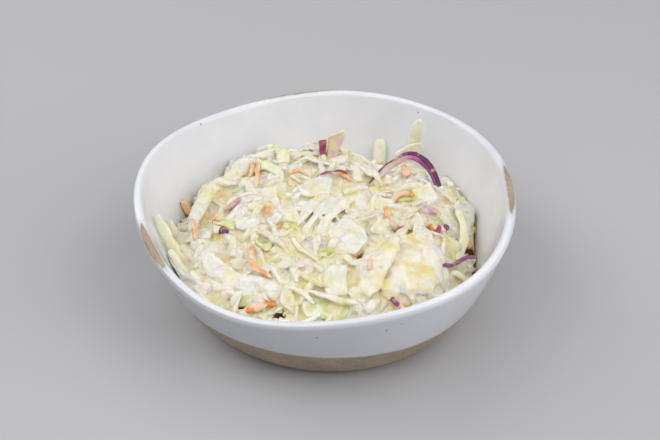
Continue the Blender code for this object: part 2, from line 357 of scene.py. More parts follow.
def stoneware_material():
    """Stoneware dipped in white glaze: glossy and even over most of it, with small
    pinholes, painted shade on the outside, and bare sandy clay below the dip line and
    where the lip was wiped."""
    material, tree = new_material("white glaze over bare stoneware")
    place = add(tree, "ShaderNodeTexCoord").outputs["Object"]
    bare = add(tree, "ShaderNodeAttribute", attribute_name="bare").outputs["Fac"]
    ragged = add(tree, "ShaderNodeTexNoise", {"Vector": place, "Scale": 600.0, "Detail": 3.0})
    edge = add(
        tree, "ShaderNodeMath", {0: ragged.outputs["Fac"], 1: 1.4, 2: -0.7},
        operation="MULTIPLY_ADD",
    )  # fmt: skip
    edge = add(tree, "ShaderNodeMath", {0: edge, 1: bare}, operation="ADD")
    mask = add(
        tree, "ShaderNodeMapRange",
        {"Value": edge, "From Min": -0.12, "From Max": 0.12, "To Min": 0.0, "To Max": 1.0},
    )  # fmt: skip
    # Glaze: breaks slightly warmer where it is thin
    cloud = add(tree, "ShaderNodeTexNoise", {"Vector": place, "Scale": 55.0, "Detail": 4.0})
    glaze = ramp(tree, cloud.outputs["Fac"], ((0.3, "#eaecf3"), (0.7, "#f1f2f8")))
    thin = add(
        tree, "ShaderNodeMapRange",
        {"Value": edge, "From Min": -1.3, "From Max": -0.1, "To Min": 0.0, "To Max": 0.55},
    )  # fmt: skip
    glaze = add(
        tree, "ShaderNodeMix", {"Factor": thin, "A": glaze, "B": srgb("#c9bfb2")},
        data_type="RGBA",
    )  # fmt: skip
    # Painted shade: the outside is greyed, least on the side the light falls on and most on the far side
    outer = add(tree, "ShaderNodeAttribute", attribute_name="outer").outputs["Fac"]
    glaze = add(
        tree, "ShaderNodeMix",
        {"Factor": outer, "A": glaze.outputs["Result"], "B": srgb("#c2c5c9")},
        data_type="RGBA",
    )  # fmt: skip
    # Pinholes under 1 mm wide: the few cells of 12 mm whose middle lies in the skin
    holes = add(tree, "ShaderNodeTexVoronoi", {"Vector": place, "Scale": 84.0})
    hole = add(
        tree, "ShaderNodeMapRange",
        {"Value": holes.outputs["Distance"], "From Min": 0.026, "From Max": 0.046,
         "To Min": 1.0, "To Max": 0.0},
    )  # fmt: skip
    glaze = add(
        tree, "ShaderNodeMix",
        {"Factor": hole, "A": glaze.outputs["Result"], "B": srgb("#6b5f55")},
        data_type="RGBA",
    )  # fmt: skip
    # Clay: sand-coloured with fine iron specks and grit
    grit = add(tree, "ShaderNodeTexNoise", {"Vector": place, "Scale": 1500.0, "Detail": 5.0})
    blotch = add(tree, "ShaderNodeTexNoise", {"Vector": place, "Scale": 90.0, "Detail": 3.0})
    clay = ramp(tree, blotch.outputs["Fac"], ((0.3, "#a59583"), (0.7, "#b9a892")))
    specks = ramp(tree, grit.outputs["Fac"], ((0.30, "#5a4636"), (0.42, "#ffffff")))
    clay = add(
        tree, "ShaderNodeMix", {"Factor": 0.7, "A": clay, "B": specks},
        data_type="RGBA", blend_type="MULTIPLY",
    )  # fmt: skip
    colour = add(
        tree, "ShaderNodeMix",
        {"Factor": mask, "A": glaze.outputs["Result"], "B": clay.outputs["Result"]},
        data_type="RGBA",
    )  # fmt: skip
    gloss = add(
        tree, "ShaderNodeMapRange",
        {"Value": mask, "From Min": 0.0, "From Max": 1.0, "To Min": 0.13, "To Max": 0.9},
    )  # fmt: skip
    orange_peel = add(
        tree, "ShaderNodeTexNoise", {"Vector": place, "Scale": 160.0, "Detail": 1.0}
    )
    soft = add(
        tree, "ShaderNodeBump",
        {"Strength": 0.2, "Distance": 0.0008, "Height": orange_peel.outputs["Fac"]},
    )  # fmt: skip
    rough_height = add(
        tree, "ShaderNodeMath", {0: grit.outputs["Fac"], 1: mask}, operation="MULTIPLY"
    )
    rough = add(
        tree, "ShaderNodeBump",
        {"Strength": 0.5, "Distance": 0.0003, "Height": rough_height, "Normal": soft},
    )  # fmt: skip
    surface = add(
        tree, "ShaderNodeBsdfPrincipled",
        {"Base Color": colour.outputs["Result"], "Roughness": gloss.outputs["Result"],
         "IOR": 1.5, "Normal": rough},
    )  # fmt: skip
    finish_material(tree, surface)
    return material


def painted_gap_shade(tree, colour):
    """The colour with painted shade deep between the pieces: ochre, then brown with no light."""
    deep = add(tree, "ShaderNodeAttribute", attribute_name="deep").outputs["Fac"]
    share = add(
        tree, "ShaderNodeMapRange",
        {"Value": deep, "From Min": PAINTED_SHADE_DEPTHS[0], "From Max": PAINTED_SHADE_DEPTHS[1],
         "To Min": 0.0, "To Max": 1.0},
    )  # fmt: skip
    # Painted shade: white near the top of the salad, ochre and then dark brown deep down
    gap_shade = ramp(tree, share, ((0.0, "#ffffff"), (0.25, "#fcf1d2"), (0.5, "#ecd297"), (0.75, "#bd9049"), (1.0, "#6e4c24")))
    place = add(tree, "ShaderNodeTexCoord").outputs["Object"]
    pools = add(tree, "ShaderNodeTexNoise", {"Vector": place, "Scale": 95.0, "Detail": 2.0})
    oil = ramp(tree, pools.outputs["Fac"], ((0.32, "#f9fbff"), (0.48, "#ffffff"), (0.6, "#fdfbec"), (0.73, "#f2f3c2")))
    for tint in (gap_shade, oil):
        colour = add(
            tree, "ShaderNodeMix", {"Factor": 1.0, "A": colour, "B": tint},
            data_type="RGBA", blend_type="MULTIPLY",
        ).outputs["Result"]  # fmt: skip
    return colour


def vegetable_material(name, stops, coat, coat_share, roughness=0.18, depth=0.6):
    """A cut vegetable under a thin coat of dressing: wet, a little translucent, streaked
    along its fibres, with the coat thick in some places and wiped off in others."""
    material, tree = new_material(name)
    place = add(tree, "ShaderNodeTexCoord").outputs["Object"]
    tone = add(tree, "ShaderNodeAttribute", attribute_name="tone").outputs["Fac"]
    mottle = add(tree, "ShaderNodeTexNoise", {"Vector": place, "Scale": 330.0, "Detail": 2.0})
    varied = add(
        tree, "ShaderNodeMath", {0: mottle.outputs["Fac"], 1: 0.5, 2: tone},
        operation="MULTIPLY_ADD",
    )  # fmt: skip
    varied = add(tree, "ShaderNodeMath", {0: varied, 1: 0.25}, operation="SUBTRACT")
    grain = add(tree, "ShaderNodeAttribute", attribute_name="grain").outputs["Vector"]
    grain = add(tree, "ShaderNodeMapping", {"Vector": grain, "Scale": (0.12, 1.0, 1.0)})
    fibres = add(tree, "ShaderNodeTexNoise", {"Vector": grain, "Scale": 900.0, "Detail": 2.0})
    varied = add(
        tree, "ShaderNodeMath", {0: fibres.outputs["Fac"], 1: 0.5, 2: varied},
        operation="MULTIPLY_ADD",
    )  # fmt: skip
    varied = add(tree, "ShaderNodeMath", {0: varied, 1: 0.25}, operation="SUBTRACT")
    flesh = ramp(tree, varied, stops)
    patches = add(tree, "ShaderNodeTexNoise", {"Vector": place, "Scale": 190.0, "Detail": 4.0})
    covered = add(
        tree, "ShaderNodeMapRange",
        {"Value": patches.outputs["Fac"], "From Min": 0.62 - 0.3 * coat_share,
         "From Max": 0.74 - 0.3 * coat_share, "To Min": 0.0, "To Max": 0.85},
    )  # fmt: skip
    colour = add(
        tree, "ShaderNodeMix", {"Factor": covered, "A": flesh, "B": srgb(coat)},
        data_type="RGBA",
    )  # fmt: skip
    # Painted shade deep between the pieces
    colour = painted_gap_shade(tree, colour.outputs["Result"])
    drops = add(tree, "ShaderNodeTexNoise", {"Vector": place, "Scale": 620.0, "Detail": 3.0})
    height = add(
        tree, "ShaderNodeMath", {0: covered, 1: 0.7, 2: drops.outputs["Fac"]},
        operation="MULTIPLY_ADD",
    )  # fmt: skip
    relief = add(
        tree, "ShaderNodeBump", {"Strength": 0.4, "Distance": 0.0006, "Height": height}
    )
    surface = add(
        tree, "ShaderNodeBsdfPrincipled",
        {"Base Color": colour, "Roughness": roughness, "IOR": 1.45,
         "Subsurface Weight": depth, "Subsurface Radius": (1.0, 0.9, 0.7),
         "Subsurface Scale": 0.001, "Normal": relief},
    )  # fmt: skip
    finish_material(tree, surface)
    return material


def dressing_material():
    """Mayonnaise dressing: ivory and wet, thin enough on a cut piece to show its colour,
    opaque between pieces, with painted shade in ochre and brown down in the hollows."""
    material, tree = new_material("creamy dressing")
    place = add(tree, "ShaderNodeTexCoord").outputs["Object"]
    cloud = add(tree, "ShaderNodeTexNoise", {"Vector": place, "Scale": 140.0, "Detail": 5.0})
    cream = ramp(
        tree, cloud.outputs["Fac"], ((0.35, "#f3e3bb"), (0.5, "#f9efda"), (0.68, "#fbf7ef"))
    )
    under = add(tree, "ShaderNodeAttribute", attribute_name="under").outputs["Color"]
    thick = add(tree, "ShaderNodeAttribute", attribute_name="thick").outputs["Fac"]
    patches = add(tree, "ShaderNodeTexNoise", {"Vector": place, "Scale": 230.0, "Detail": 3.0})
    cover = add(
        tree, "ShaderNodeMath", {0: patches.outputs["Fac"], 1: 2.4, 2: thick},
        operation="MULTIPLY_ADD",
    )  # fmt: skip
    cover = add(
        tree, "ShaderNodeMapRange",
        {"Value": cover, "From Min": 1.1, "From Max": 2.1, "To Min": 0.3, "To Max": 1.0},
    )  # fmt: skip
    colour = add(
        tree, "ShaderNodeMix", {"Factor": cover, "A": under, "B": cream}, data_type="RGBA"
    ).outputs["Result"]
    colour = painted_gap_shade(tree, colour)
    lumps = add(tree, "ShaderNodeTexNoise", {"Vector": place, "Scale": 480.0, "Detail": 4.0})
    relief = add(
        tree, "ShaderNodeBump",
        {"Strength": 0.4, "Distance": 0.0007, "Height": lumps.outputs["Fac"]},
    )  # fmt: skip
    surface = add(
        tree, "ShaderNodeBsdfPrincipled",
        {"Base Color": colour, "Roughness": 0.14, "IOR": 1.48, "Subsurface Weight": 0.6,
         "Subsurface Radius": (1.0, 0.9, 0.7), "Subsurface Scale": 0.001,
         "Normal": relief},
    )  # fmt: skip
    finish_material(tree, surface)
    return material


# ---------------------------------------------------------------- meshes


def mesh_object(name, points, faces, material, attributes=None):
    """An object from points in mm and faces, smooth, facing out, at the origin."""
    data = bpy.data.meshes.new(name)
    data.from_pydata([tuple(point) for point in np.asarray(points) * MM], [], faces)
    shell = bmesh.new()
    shell.from_mesh(data)
    bmesh.ops.recalc_face_normals(shell, faces=shell.faces)
    shell.to_mesh(data)
    shell.free()
    for key, values in (attributes or {}).items():
        layer = data.attributes.new(key, "FLOAT", "POINT")
        layer.data.foreach_set("value", np.asarray(values, np.float32))
    data.shade_smooth()
    if material:
        data.materials.append(material)
    obj = bpy.data.objects.new(name, data)
    bpy.context.scene.collection.objects.link(obj)
    return obj


def ring_faces(rows, sectors):
    """Quads over a stack of closed loops of points."""
    faces = []
    for row in range(rows - 1):
        for i in range(sectors):
            j = (i + 1) % sectors
            a, b = row * sectors, (row + 1) * sectors
            faces.append((a + i, a + j, b + j, b + i))
    return faces


def spot_depth(x, y, z, spots):
    """How far each point lies inside the nearest bare lens on the lip, in mm."""
    deepest = np.full_like(x, -9.0)
    for direction, turn, length, width in spots:
        angle = math.radians(direction)
        outer = np.array(wall_point(angle, 1.0, 0.0))
        inner = np.array(wall_point(angle, 1.0, WALL))
        middle = (outer + inner) / 2
        across = (outer - inner) / 2
        along = np.array((-across[1], across[0]))
        spin = turn * math.pi
        radius, height = middle + across * math.cos(spin) + along * math.sin(spin)
        side = (-x * math.sin(angle) + y * math.cos(angle)) / (length / 2)
        slope = waves(np.arctan2(y, x), RIM_WAVES) - waves(angle, RIM_WAVES)
        away = np.hypot(
            np.hypot(x, y) - radius - (waves(np.arctan2(y, x), CORNERS) - waves(angle, CORNERS)),
            z - height - slope,
        )
        facing = x * math.cos(angle) + y * math.sin(angle) > 0
        lens = width / 2 * (1 - np.abs(side) ** 2.4) - away
        deepest = np.where(facing, np.maximum(deepest, lens), deepest)
    return deepest


def make_bowl(material):
    """The bowl with its glaze standing a little proud of the bare clay."""
    angles = np.arange(BOWL_SECTORS) * math.tau / BOWL_SECTORS
    rises = (np.arange(BOWL_RINGS + 1) / BOWL_RINGS) ** 1.6
    dip = DIP_LINE + waves(angles, ((2, 0.25, 40.0), (5, 0.15, 10.0), (9, 0.08, 80.0)))
    rows, bare = [], []

    def add_row(radius, height, on_foot=None):
        radius = np.broadcast_to(radius, angles.shape)
        height = np.broadcast_to(height, angles.shape)
        x, y = radius * np.cos(angles), radius * np.sin(angles)
        depth = spot_depth(x, y, height, BARE_SPOTS)
        if on_foot is not None:
            depth = np.maximum(depth, on_foot)
        rows.append(np.stack([x, y, height], 1))
        bare.append(depth)

    for share in (0.25, 0.6, 0.85, 0.97):
        add_row(FOOT_RADIUS * share, 0.35 * (share < 0.8), 9.0)
    for rise in rises:
        radius, height = wall_point(angles, rise, 0.0)
        below = dip - height
        sunk = GLAZE_DEPTH * np.clip(0.5 + below / 0.8, 0, 1) * (height > 0.4)
        radius, height = wall_point(angles, rise, sunk)
        add_row(radius, np.where(rise < 0.02, np.maximum(height * 0, rise * 30), height), below)
    outer = np.array(wall_point(angles, 1.0, 0.0))
    inner = np.array(wall_point(angles, 1.0, WALL))
    middle, across = (outer + inner) / 2, (outer - inner) / 2
    for step in range(1, LIP_STEPS):
        turn = math.pi * step / LIP_STEPS
        radius = middle[0] + across[0] * math.cos(turn) - across[1] * math.sin(turn)
        height = middle[1] + across[1] * math.cos(turn) + across[0] * math.sin(turn)
        add_row(radius, height)
    for rise in rises[::-1]:
        add_row(*wall_point(angles, rise, WALL))
    for share in (0.7, 0.4, 0.15):
        add_row((FOOT_RADIUS - 1) * share, WALL)
    points = np.concatenate([*rows, [[0, 0, 0.35], [0, 0, WALL]]])
    count = len(rows) * BOWL_SECTORS
    faces = ring_faces(len(rows), BOWL_SECTORS)
    for i in range(BOWL_SECTORS):
        j = (i + 1) % BOWL_SECTORS
        faces.append((i, j, count))
        last = (len(rows) - 1) * BOWL_SECTORS
        faces.append((last + i, last + j, count + 1))
    depth = np.concatenate([*bare, [9.0, -9.0]])
    outside = np.arange(len(points)) < (4 + BOWL_RINGS + 1 + LIP_STEPS // 3) * BOWL_SECTORS
    facing = np.arctan2(points[:, 1], points[:, 0]) - math.radians(PAINTED_LIGHT_FACING)
    # Painted shade on the outside glaze, lightest on the lit side
    marks = {"bare": depth, "outer": outside * (0.65 - 0.35 * np.cos(facing))}
    return mesh_object("stoneware_bowl", points, faces, material, marks)


def wall_height(x, y):
    """Height of the bowl's inner face over a point on plan."""
    angle = np.arctan2(y, x)
    radius = np.hypot(x, y)
    low = np.zeros_like(angle)
    high = np.ones_like(angle)
    for _ in range(16):
        middle = (low + high) / 2
        inside = wall_point(angle, middle, WALL)[0] < radius
        low = np.where(inside, middle, low)
        high = np.where(inside, high, middle)
    return np.maximum(wall_point(angle, low, WALL)[1], WALL)


class Pile:
    """The top of the salad so far, on a grid, as pieces are laid on it one by one."""

    def __init__(self, drop, chance):
        ticks = np.arange(-PILE_REACH, PILE_REACH + PILE_GRID, PILE_GRID)
        x, y = np.meshgrid(ticks, ticks)
        self.chance = chance
        self.height = np.maximum(heap_height(x, y) - drop, wall_height(x, y))
        self.goal = heap_height(x, y)
        for _ in range(TUFTS):
            angle = chance.uniform(0, math.tau)
            radius = 64 * math.sqrt(chance.random())
            away = np.hypot(x - radius * math.cos(angle), y - radius * math.sin(angle))
            self.goal += chance.uniform(-1, 1) * TUFT_HEIGHT * bump(away, chance.uniform(5, 11))

    def settled(self, spread):
        """The pile's height blurred over a distance, as a field on its grid."""
        reach = int(3 * spread / PILE_GRID)
        steps = np.arange(-reach, reach + 1) * PILE_GRID
        weights = np.exp(-((steps / spread) ** 2) / 2)
        weights /= weights.sum()
        field = np.pad(self.height, reach, "edge")
        field = sum(w * field[i : i + self.height.shape[0]] for i, w in enumerate(weights))
        return sum(w * field[:, i : i + self.height.shape[1]] for i, w in enumerate(weights))

    def cells(self, plan):
        cells = np.rint((plan + PILE_REACH) / PILE_GRID).astype(int)
        return np.clip(cells, 0, self.height.shape[0] - 1)

    def at(self, plan, field=None):
        """The pile's height, or another field, under points on plan."""
        cells = self.cells(plan)
        return (self.height if field is None else field)[cells[:, 1], cells[:, 0]]

    def lay(self, plan, wide, thick, stiff=0.5, lifts=0.0, roll=0.0, follow=0.7):
        """Rests a strip on the pile. A limp one follows what is under it, and a stiff
        one bridges from one high place to the next. Half widths and half thicknesses."""
        wide = np.broadcast_to(wide, len(plan)).astype(float)
        thick = np.broadcast_to(thick, len(plan)).astype(float)
        ahead = np.gradient(plan, axis=0)
        ahead /= np.linalg.norm(ahead, axis=1)[:, None]
        side = np.stack([ahead[:, 1], -ahead[:, 0]], 1)
        left = self.at(plan - side * wide[:, None] * 0.6)
        right = self.at(plan + side * wide[:, None] * 0.6)
        under = np.maximum(self.at(plan), (left + right) / 2)
        padded = np.concatenate([under[:1], under[:1], under, under[-1:], under[-1:]])
        soft = np.convolve(padded, (0.1, 0.25, 0.3, 0.25, 0.1), "valid")
        z = soft + (bridges(plan, under) - soft) * stiff + thick + lifts
        rise = np.clip((right - left) / (1.2 * wide), -1.2, 1.2)
        rise = np.convolve(np.pad(rise, 1, "edge"), (0.25, 0.5, 0.25), "valid")
        side = np.column_stack([side, follow * rise + roll])
        path = np.column_stack([plan, z])
        along = np.gradient(path, axis=0)
        along /= np.linalg.norm(along, axis=1)[:, None]
        up = np.cross(side, along)
        up /= np.linalg.norm(up, axis=1)[:, None]
        up *= np.sign(up[:, 2:] + 1e-9)
        side = np.cross(along, up)
        self.cover(path, side, wide, thick)
        return {"middle": path, "side": side, "up": up, "wide": wide, "thick": thick,
                "tone": self.chance.random()}  # fmt: skip

    def settle(self, plan, stiff, half, field=None):
        """Heights at which a flat piece rests on the pile, limp or stiff."""
        ground = self.at(plan, field)
        frame = np.column_stack([np.ones(len(plan)), plan - plan.mean(axis=0)])
        fit = np.linalg.lstsq(frame, ground, rcond=None)[0]
        fit[1:] = np.clip(fit[1:], -0.8, 0.8)
        flat = frame @ fit
        over = ground - flat
        return flat + over * (1 - stiff) * 0.8 + np.quantile(over, 0.8) * stiff + half

    def cover_loops(self, loops, shares, middle, half):
        """Raises the pile where a flat piece now lies. Loops run inwards."""
        reach = np.ptp(loops[0][:, :2], axis=0).max()
        around = np.linspace(0, loops.shape[1], int(reach * 8) + 8, endpoint=False)
        own = np.arange(loops.shape[1] + 1)
        fine = np.stack([
            np.stack([np.interp(around, own, np.append(loop[:, axis], loop[0, axis]))
                      for axis in range(3)], 1)
            for loop in loops
        ])  # fmt: skip
        fine = np.concatenate([fine, np.broadcast_to(middle, fine[:1].shape)])
        places = [*shares, 0.0]
        for share in np.linspace(0, 1, int(reach) + 4):
            spots = np.stack([
                np.array([np.interp(share, places[::-1], column[::-1]) for column in fine[:, :, axis].T])
                for axis in range(3)
            ], 1)  # fmt: skip
            cells = self.cells(spots[:, :2])
            np.maximum.at(self.height, (cells[:, 1], cells[:, 0]), spots[:, 2] + half * 0.8)

    def cover(self, path, side, wide, thick):
        """Raises the pile where a strip now lies."""
        length = np.linalg.norm(np.diff(path, axis=0), axis=1).sum()
        steps = np.linspace(0, len(path) - 1, int(length / 0.4) + 2)
        own = np.arange(len(path))
        across = np.linspace(-0.9, 0.9, int(2 * wide.max() / 0.4) + 2)
        spots = []
        for axis in range(3):
            middle = np.interp(steps, own, path[:, axis])
            reach = np.interp(steps, own, side[:, axis] * wide)
            spots.append((middle[:, None] + reach[:, None] * across).ravel())
        top = (np.interp(steps, own, thick)[:, None] * np.sqrt(1 - across**2)).ravel()
        cells = self.cells(np.stack(spots[:2], 1))
        np.maximum.at(self.height, (cells[:, 1], cells[:, 0]), spots[2] + top * 0.8)


def bridges(plan, heights):
    """Heights of a taut line laid over the given ones: straight from peak to peak."""
    along = np.concatenate([[0], np.cumsum(np.linalg.norm(np.diff(plan, axis=0), axis=1))])
    taut = heights.copy()
    for i in range(len(along)):
        for j in range(i + 2, len(along)):
            share = (along[i + 1 : j] - along[i]) / (along[j] - along[i])
            line = heights[i] + (heights[j] - heights[i]) * share
            taut[i + 1 : j] = np.maximum(taut[i + 1 : j], line)
    return taut


def cut_line(chance, x, y, length, yaw, bend, points):
    """Points on plan of a bent cut strip, kept within reach of the bowl's wall."""
    s = np.linspace(-0.5, 0.5, points)
    turn = yaw + bend * s + chance.uniform(-0.4, 0.4) * bend * np.sin(math.tau * s)
    step = length / (points - 1)
    plan = np.cumsum(np.stack([np.cos(turn), np.sin(turn)], 1) * step, axis=0)
    plan += np.array([x, y]) - plan[points // 2]
    angle = np.arctan2(plan[:, 1], plan[:, 0])
    radius = np.hypot(plan[:, 0], plan[:, 1])
    limit = heap_edge(angle)[0] + 0.6
    return plan * (np.minimum(radius, limit) / np.maximum(radius, 1))[:, None]


def lay_cut(pile, kind, x, y, yaw=None):
    """Lays one piece of a kind at a place, cut to its own size."""
    chance = pile.chance
    size = KINDS[kind]
    length = chance.uniform(*size["length"]) * chance.choice((0.8, 1.0, 1.0, 1.25))
    bend = chance.gauss(0, size["bend"])
    grain = 2.2 * math.sin(x / 19 + 1.3) + 1.9 * math.cos(y / 23 - 0.6)
    yaw = grain + chance.gauss(0, size["stray"]) if yaw is None else yaw
    points = size["points"]
    plan = cut_line(chance, x, y, length, yaw, bend, points)
    wide = chance.uniform(*size["width"]) / 2
    ends = np.linspace(-1, 1, points)
    lean = chance.uniform(-0.3, 0.3)
    shape = 1 - size["taper"] * np.abs(ends) ** 3 + lean * ends
    shape *= np.array([chance.uniform(1 - size["rough"], 1 + size["rough"]) for _ in ends])
    thick = chance.uniform(*size["thickness"]) / 2 * (1 - 0.35 * np.abs(ends) ** 4)
    lifts = chance.uniform(*size["lift"]) * (1 - ends**2) * (chance.random() < 0.5)
    lifts = lifts + chance.uniform(-1, 1) * size["kick"] * np.clip(ends * chance.choice((-1, 1)), 0, 1) ** 2
    strip = pile.lay(plan, wide * shape, thick, chance.uniform(*size["stiff"]), lifts,
                     chance.gauss(0, size["roll"]))  # fmt: skip
    strip["kind"] = kind
    return strip


def chopped_outline(chance, length, width, count):
    """Outline of a chopped piece: four or five straight cuts, the corners a little worn."""
    corners = chance.choice((4, 4, 5))
    ring = []
    for k in range(corners):
        turn = (k + chance.uniform(-0.28, 0.28)) * math.tau / corners
        out = chance.uniform(0.85, 1.2)
        ring.append((math.cos(turn) * length / 2 * out, math.sin(turn) * width / 2 * out))
    return along_sides(ring, count)


def along_sides(corners, count, worn=0.12):
    """This many points round a polygon, at its corners and along its sides."""
    corners = np.asarray(corners, float)
    sides = np.linalg.norm(np.roll(corners, -1, axis=0) - corners, axis=1)
    steps = np.maximum(1, np.floor(sides / sides.sum() * count)).astype(int)
    while steps.sum() != count:
        steps[np.argmax(sides / steps)] += 1 if steps.sum() < count else -1
    points = []
    for corner, after, number in zip(corners, np.roll(corners, -1, axis=0), steps):
        points += [corner + (after - corner) * i / number for i in range(number)]
    points = np.array(points)
    return points * (1 - 2 * worn) + worn * (np.roll(points, 1, axis=0) + np.roll(points, -1, axis=0))


def crumple(points, depth, size, seed):
    """Points moved by smooth noise of their own."""
    shift = Vector((seed * 37.1, seed * 11.3, seed * 5.7))
    return points + depth * np.array([noise.noise_vector(Vector(p) / size + shift) for p in points])


def chip_of(loops, middle, up, half, profile, tone, axes, rough, rough_size, plain_below=1):
    """Points of one closed chip: its loops, inner to outer, above and then below, where
    it may be plainer."""
    seed = float(tone) * 10 + middle[0]
    top = [loop + up * half * share for loop, share in zip(loops, profile)][::-1]
    bottom = [loop - up * half * share for loop, share in zip(loops, profile)][::plain_below]
    points = np.concatenate([*top, *bottom, [middle + up * half], [middle - up * half]])
    flat = points - middle
    grain = np.stack([flat @ axes[0], flat @ axes[1], np.full(len(flat), tone * 200)], 1)
    return {"points": crumple(points, rough, rough_size, seed), "grain": grain, "tone": tone,
            "sides": len(loops[0]), "rows": len(top) + len(bottom)}  # fmt: skip


def lay_chip(pile, kind, x, y):
    """Lays one chopped piece of a kind at a place, cut to its own size."""
    chance = pile.chance
    size = CHIPS[kind]
    length = chance.uniform(*size["length"])
    width = min(length, chance.uniform(*size["width"]))
    half = chance.uniform(*size["thickness"]) / 2
    ring = chopped_outline(chance, length, width, CHIP_SIDES)
    yaw = chance.uniform(0, math.tau)
    turn = np.array([(math.cos(yaw), math.sin(yaw)), (-math.sin(yaw), math.cos(yaw))])
    ring = ring @ turn + (x, y)
    limit = heap_edge(np.arctan2(ring[:, 1], ring[:, 0]))[0] + 0.4
    radius = np.hypot(ring[:, 0], ring[:, 1])
    ring *= (np.minimum(radius, limit) / radius)[:, None]
    shares = [share for share, _ in CHIP_LOOPS]
    middle = ring.mean(axis=0)
    plans = [middle + (ring - middle) * share for share in shares]
    plan = np.concatenate([*plans, [middle]])
    z = pile.settle(plan, chance.uniform(*size["stiff"]), half)
    own = (plan - middle) @ turn.T / (length / 2)
    z += chance.uniform(-1, 1) * size["cup"] * (own[:, 0] ** 2 - 0.3)
    z += chance.uniform(0, 1) ** 2 * size["kick"] * np.clip(own @ _away(chance), 0, 2) ** 2
    points = np.column_stack([plan, z])
    loops = points[:-1].reshape(len(shares), CHIP_SIDES, 3)
    pile.cover_loops(loops, shares, points[-1], half)
    axes = np.column_stack([turn, (0, 0)])
    made = chip_of(loops, points[-1], np.array((0.0, 0.0, 1.0)), half,
                   [share for _, share in CHIP_LOOPS], chance.random(), axes, 0.55, 3.2, 2)  # fmt: skip
    made["kind"] = kind
    return made


def _away(chance):
    turn = chance.uniform(0, math.tau)
    return np.array((math.cos(turn), math.sin(turn)))


def lay_large(pile, kind, corners, middle_lift, thickness, tone, stiff=0.35, rough=0.9, size=6.0):
    """Lays one chosen flat piece with corners at (x, y, lift above the pile)."""
    ring = along_sides(corners, LARGE_SIDES, 0.2)
    middle = ring.mean(axis=0)
    shares = [share for share, _ in LARGE_LOOPS]
    loops = np.stack([middle + (ring - middle) * share for share in shares])
    plan = np.concatenate([*loops[:, :, :2], [middle[:2]]])
    lifts = [ring[:, 2] * share**2 + middle_lift * (1 - share**2) for share in shares]
    half = thickness / 2
    z = pile.settle(plan, stiff, half, pile.settled(2.0))
    z += np.concatenate([*lifts, [middle_lift]])
    points = np.column_stack([plan, z])
    loops = points[:-1].reshape(loops.shape)
    pile.cover_loops(loops, shares, points[-1], half)
    made = chip_of(loops, points[-1], np.array((0.0, 0.0, 1.0)), half,
                   [share for _, share in LARGE_LOOPS], tone, np.eye(3)[:2], rough, size)  # fmt: skip
    made["kind"] = kind
    return made


def stand_large(kind, corners, thickness, tone, rough=0.5, size=4.0):
    """A chosen flat piece that stands free, with corners at (x, y, z)."""
    ring = along_sides(corners, LARGE_SIDES, 0.2)
    middle = ring.mean(axis=0)
    across = np.linalg.svd(ring - middle)[2]
    up = across[2] * (-1.0 if across[2][1] > 0 else 1.0)
    loops = np.stack([middle + (ring - middle) * share for share, _ in LARGE_LOOPS])
    made = chip_of(loops, middle, up, thickness / 2, [share for _, share in LARGE_LOOPS],
                   tone, across[:2], rough, size)  # fmt: skip
    made["kind"] = kind
    return made


def chips_piece(name, chips, material):
    """One piece from laid chips, as one joined mesh kept inside the bowl."""
    points, faces, tones, grains, count = [], [], [], [], 0
    for chip in chips:
        sides, rows = chip["sides"], chip["rows"]
        last = count + (rows - 1) * sides
        top, bottom = count + rows * sides, count + rows * sides + 1
        faces += [tuple(count + corner for corner in face) for face in ring_faces(rows, sides)]
        for i in range(sides):
            j = (i + 1) % sides
            faces.append((count + j, count + i, top))
            faces.append((last + i, last + j, bottom))
        points.append(chip["points"])
        grains.append(chip["grain"])
        tones.append(np.full(len(chip["points"]), chip["tone"]))
        count += len(chip["points"])
    points = keep_in_bowl(np.concatenate(points))
    made = mesh_object(name, points, faces, material, {"tone": np.concatenate(tones)})
    grain = made.data.attributes.new("grain", "FLOAT_VECTOR", "POINT")
    grain.data.foreach_set("vector", (np.concatenate(grains) * MM).astype(np.float32).ravel())
    return made


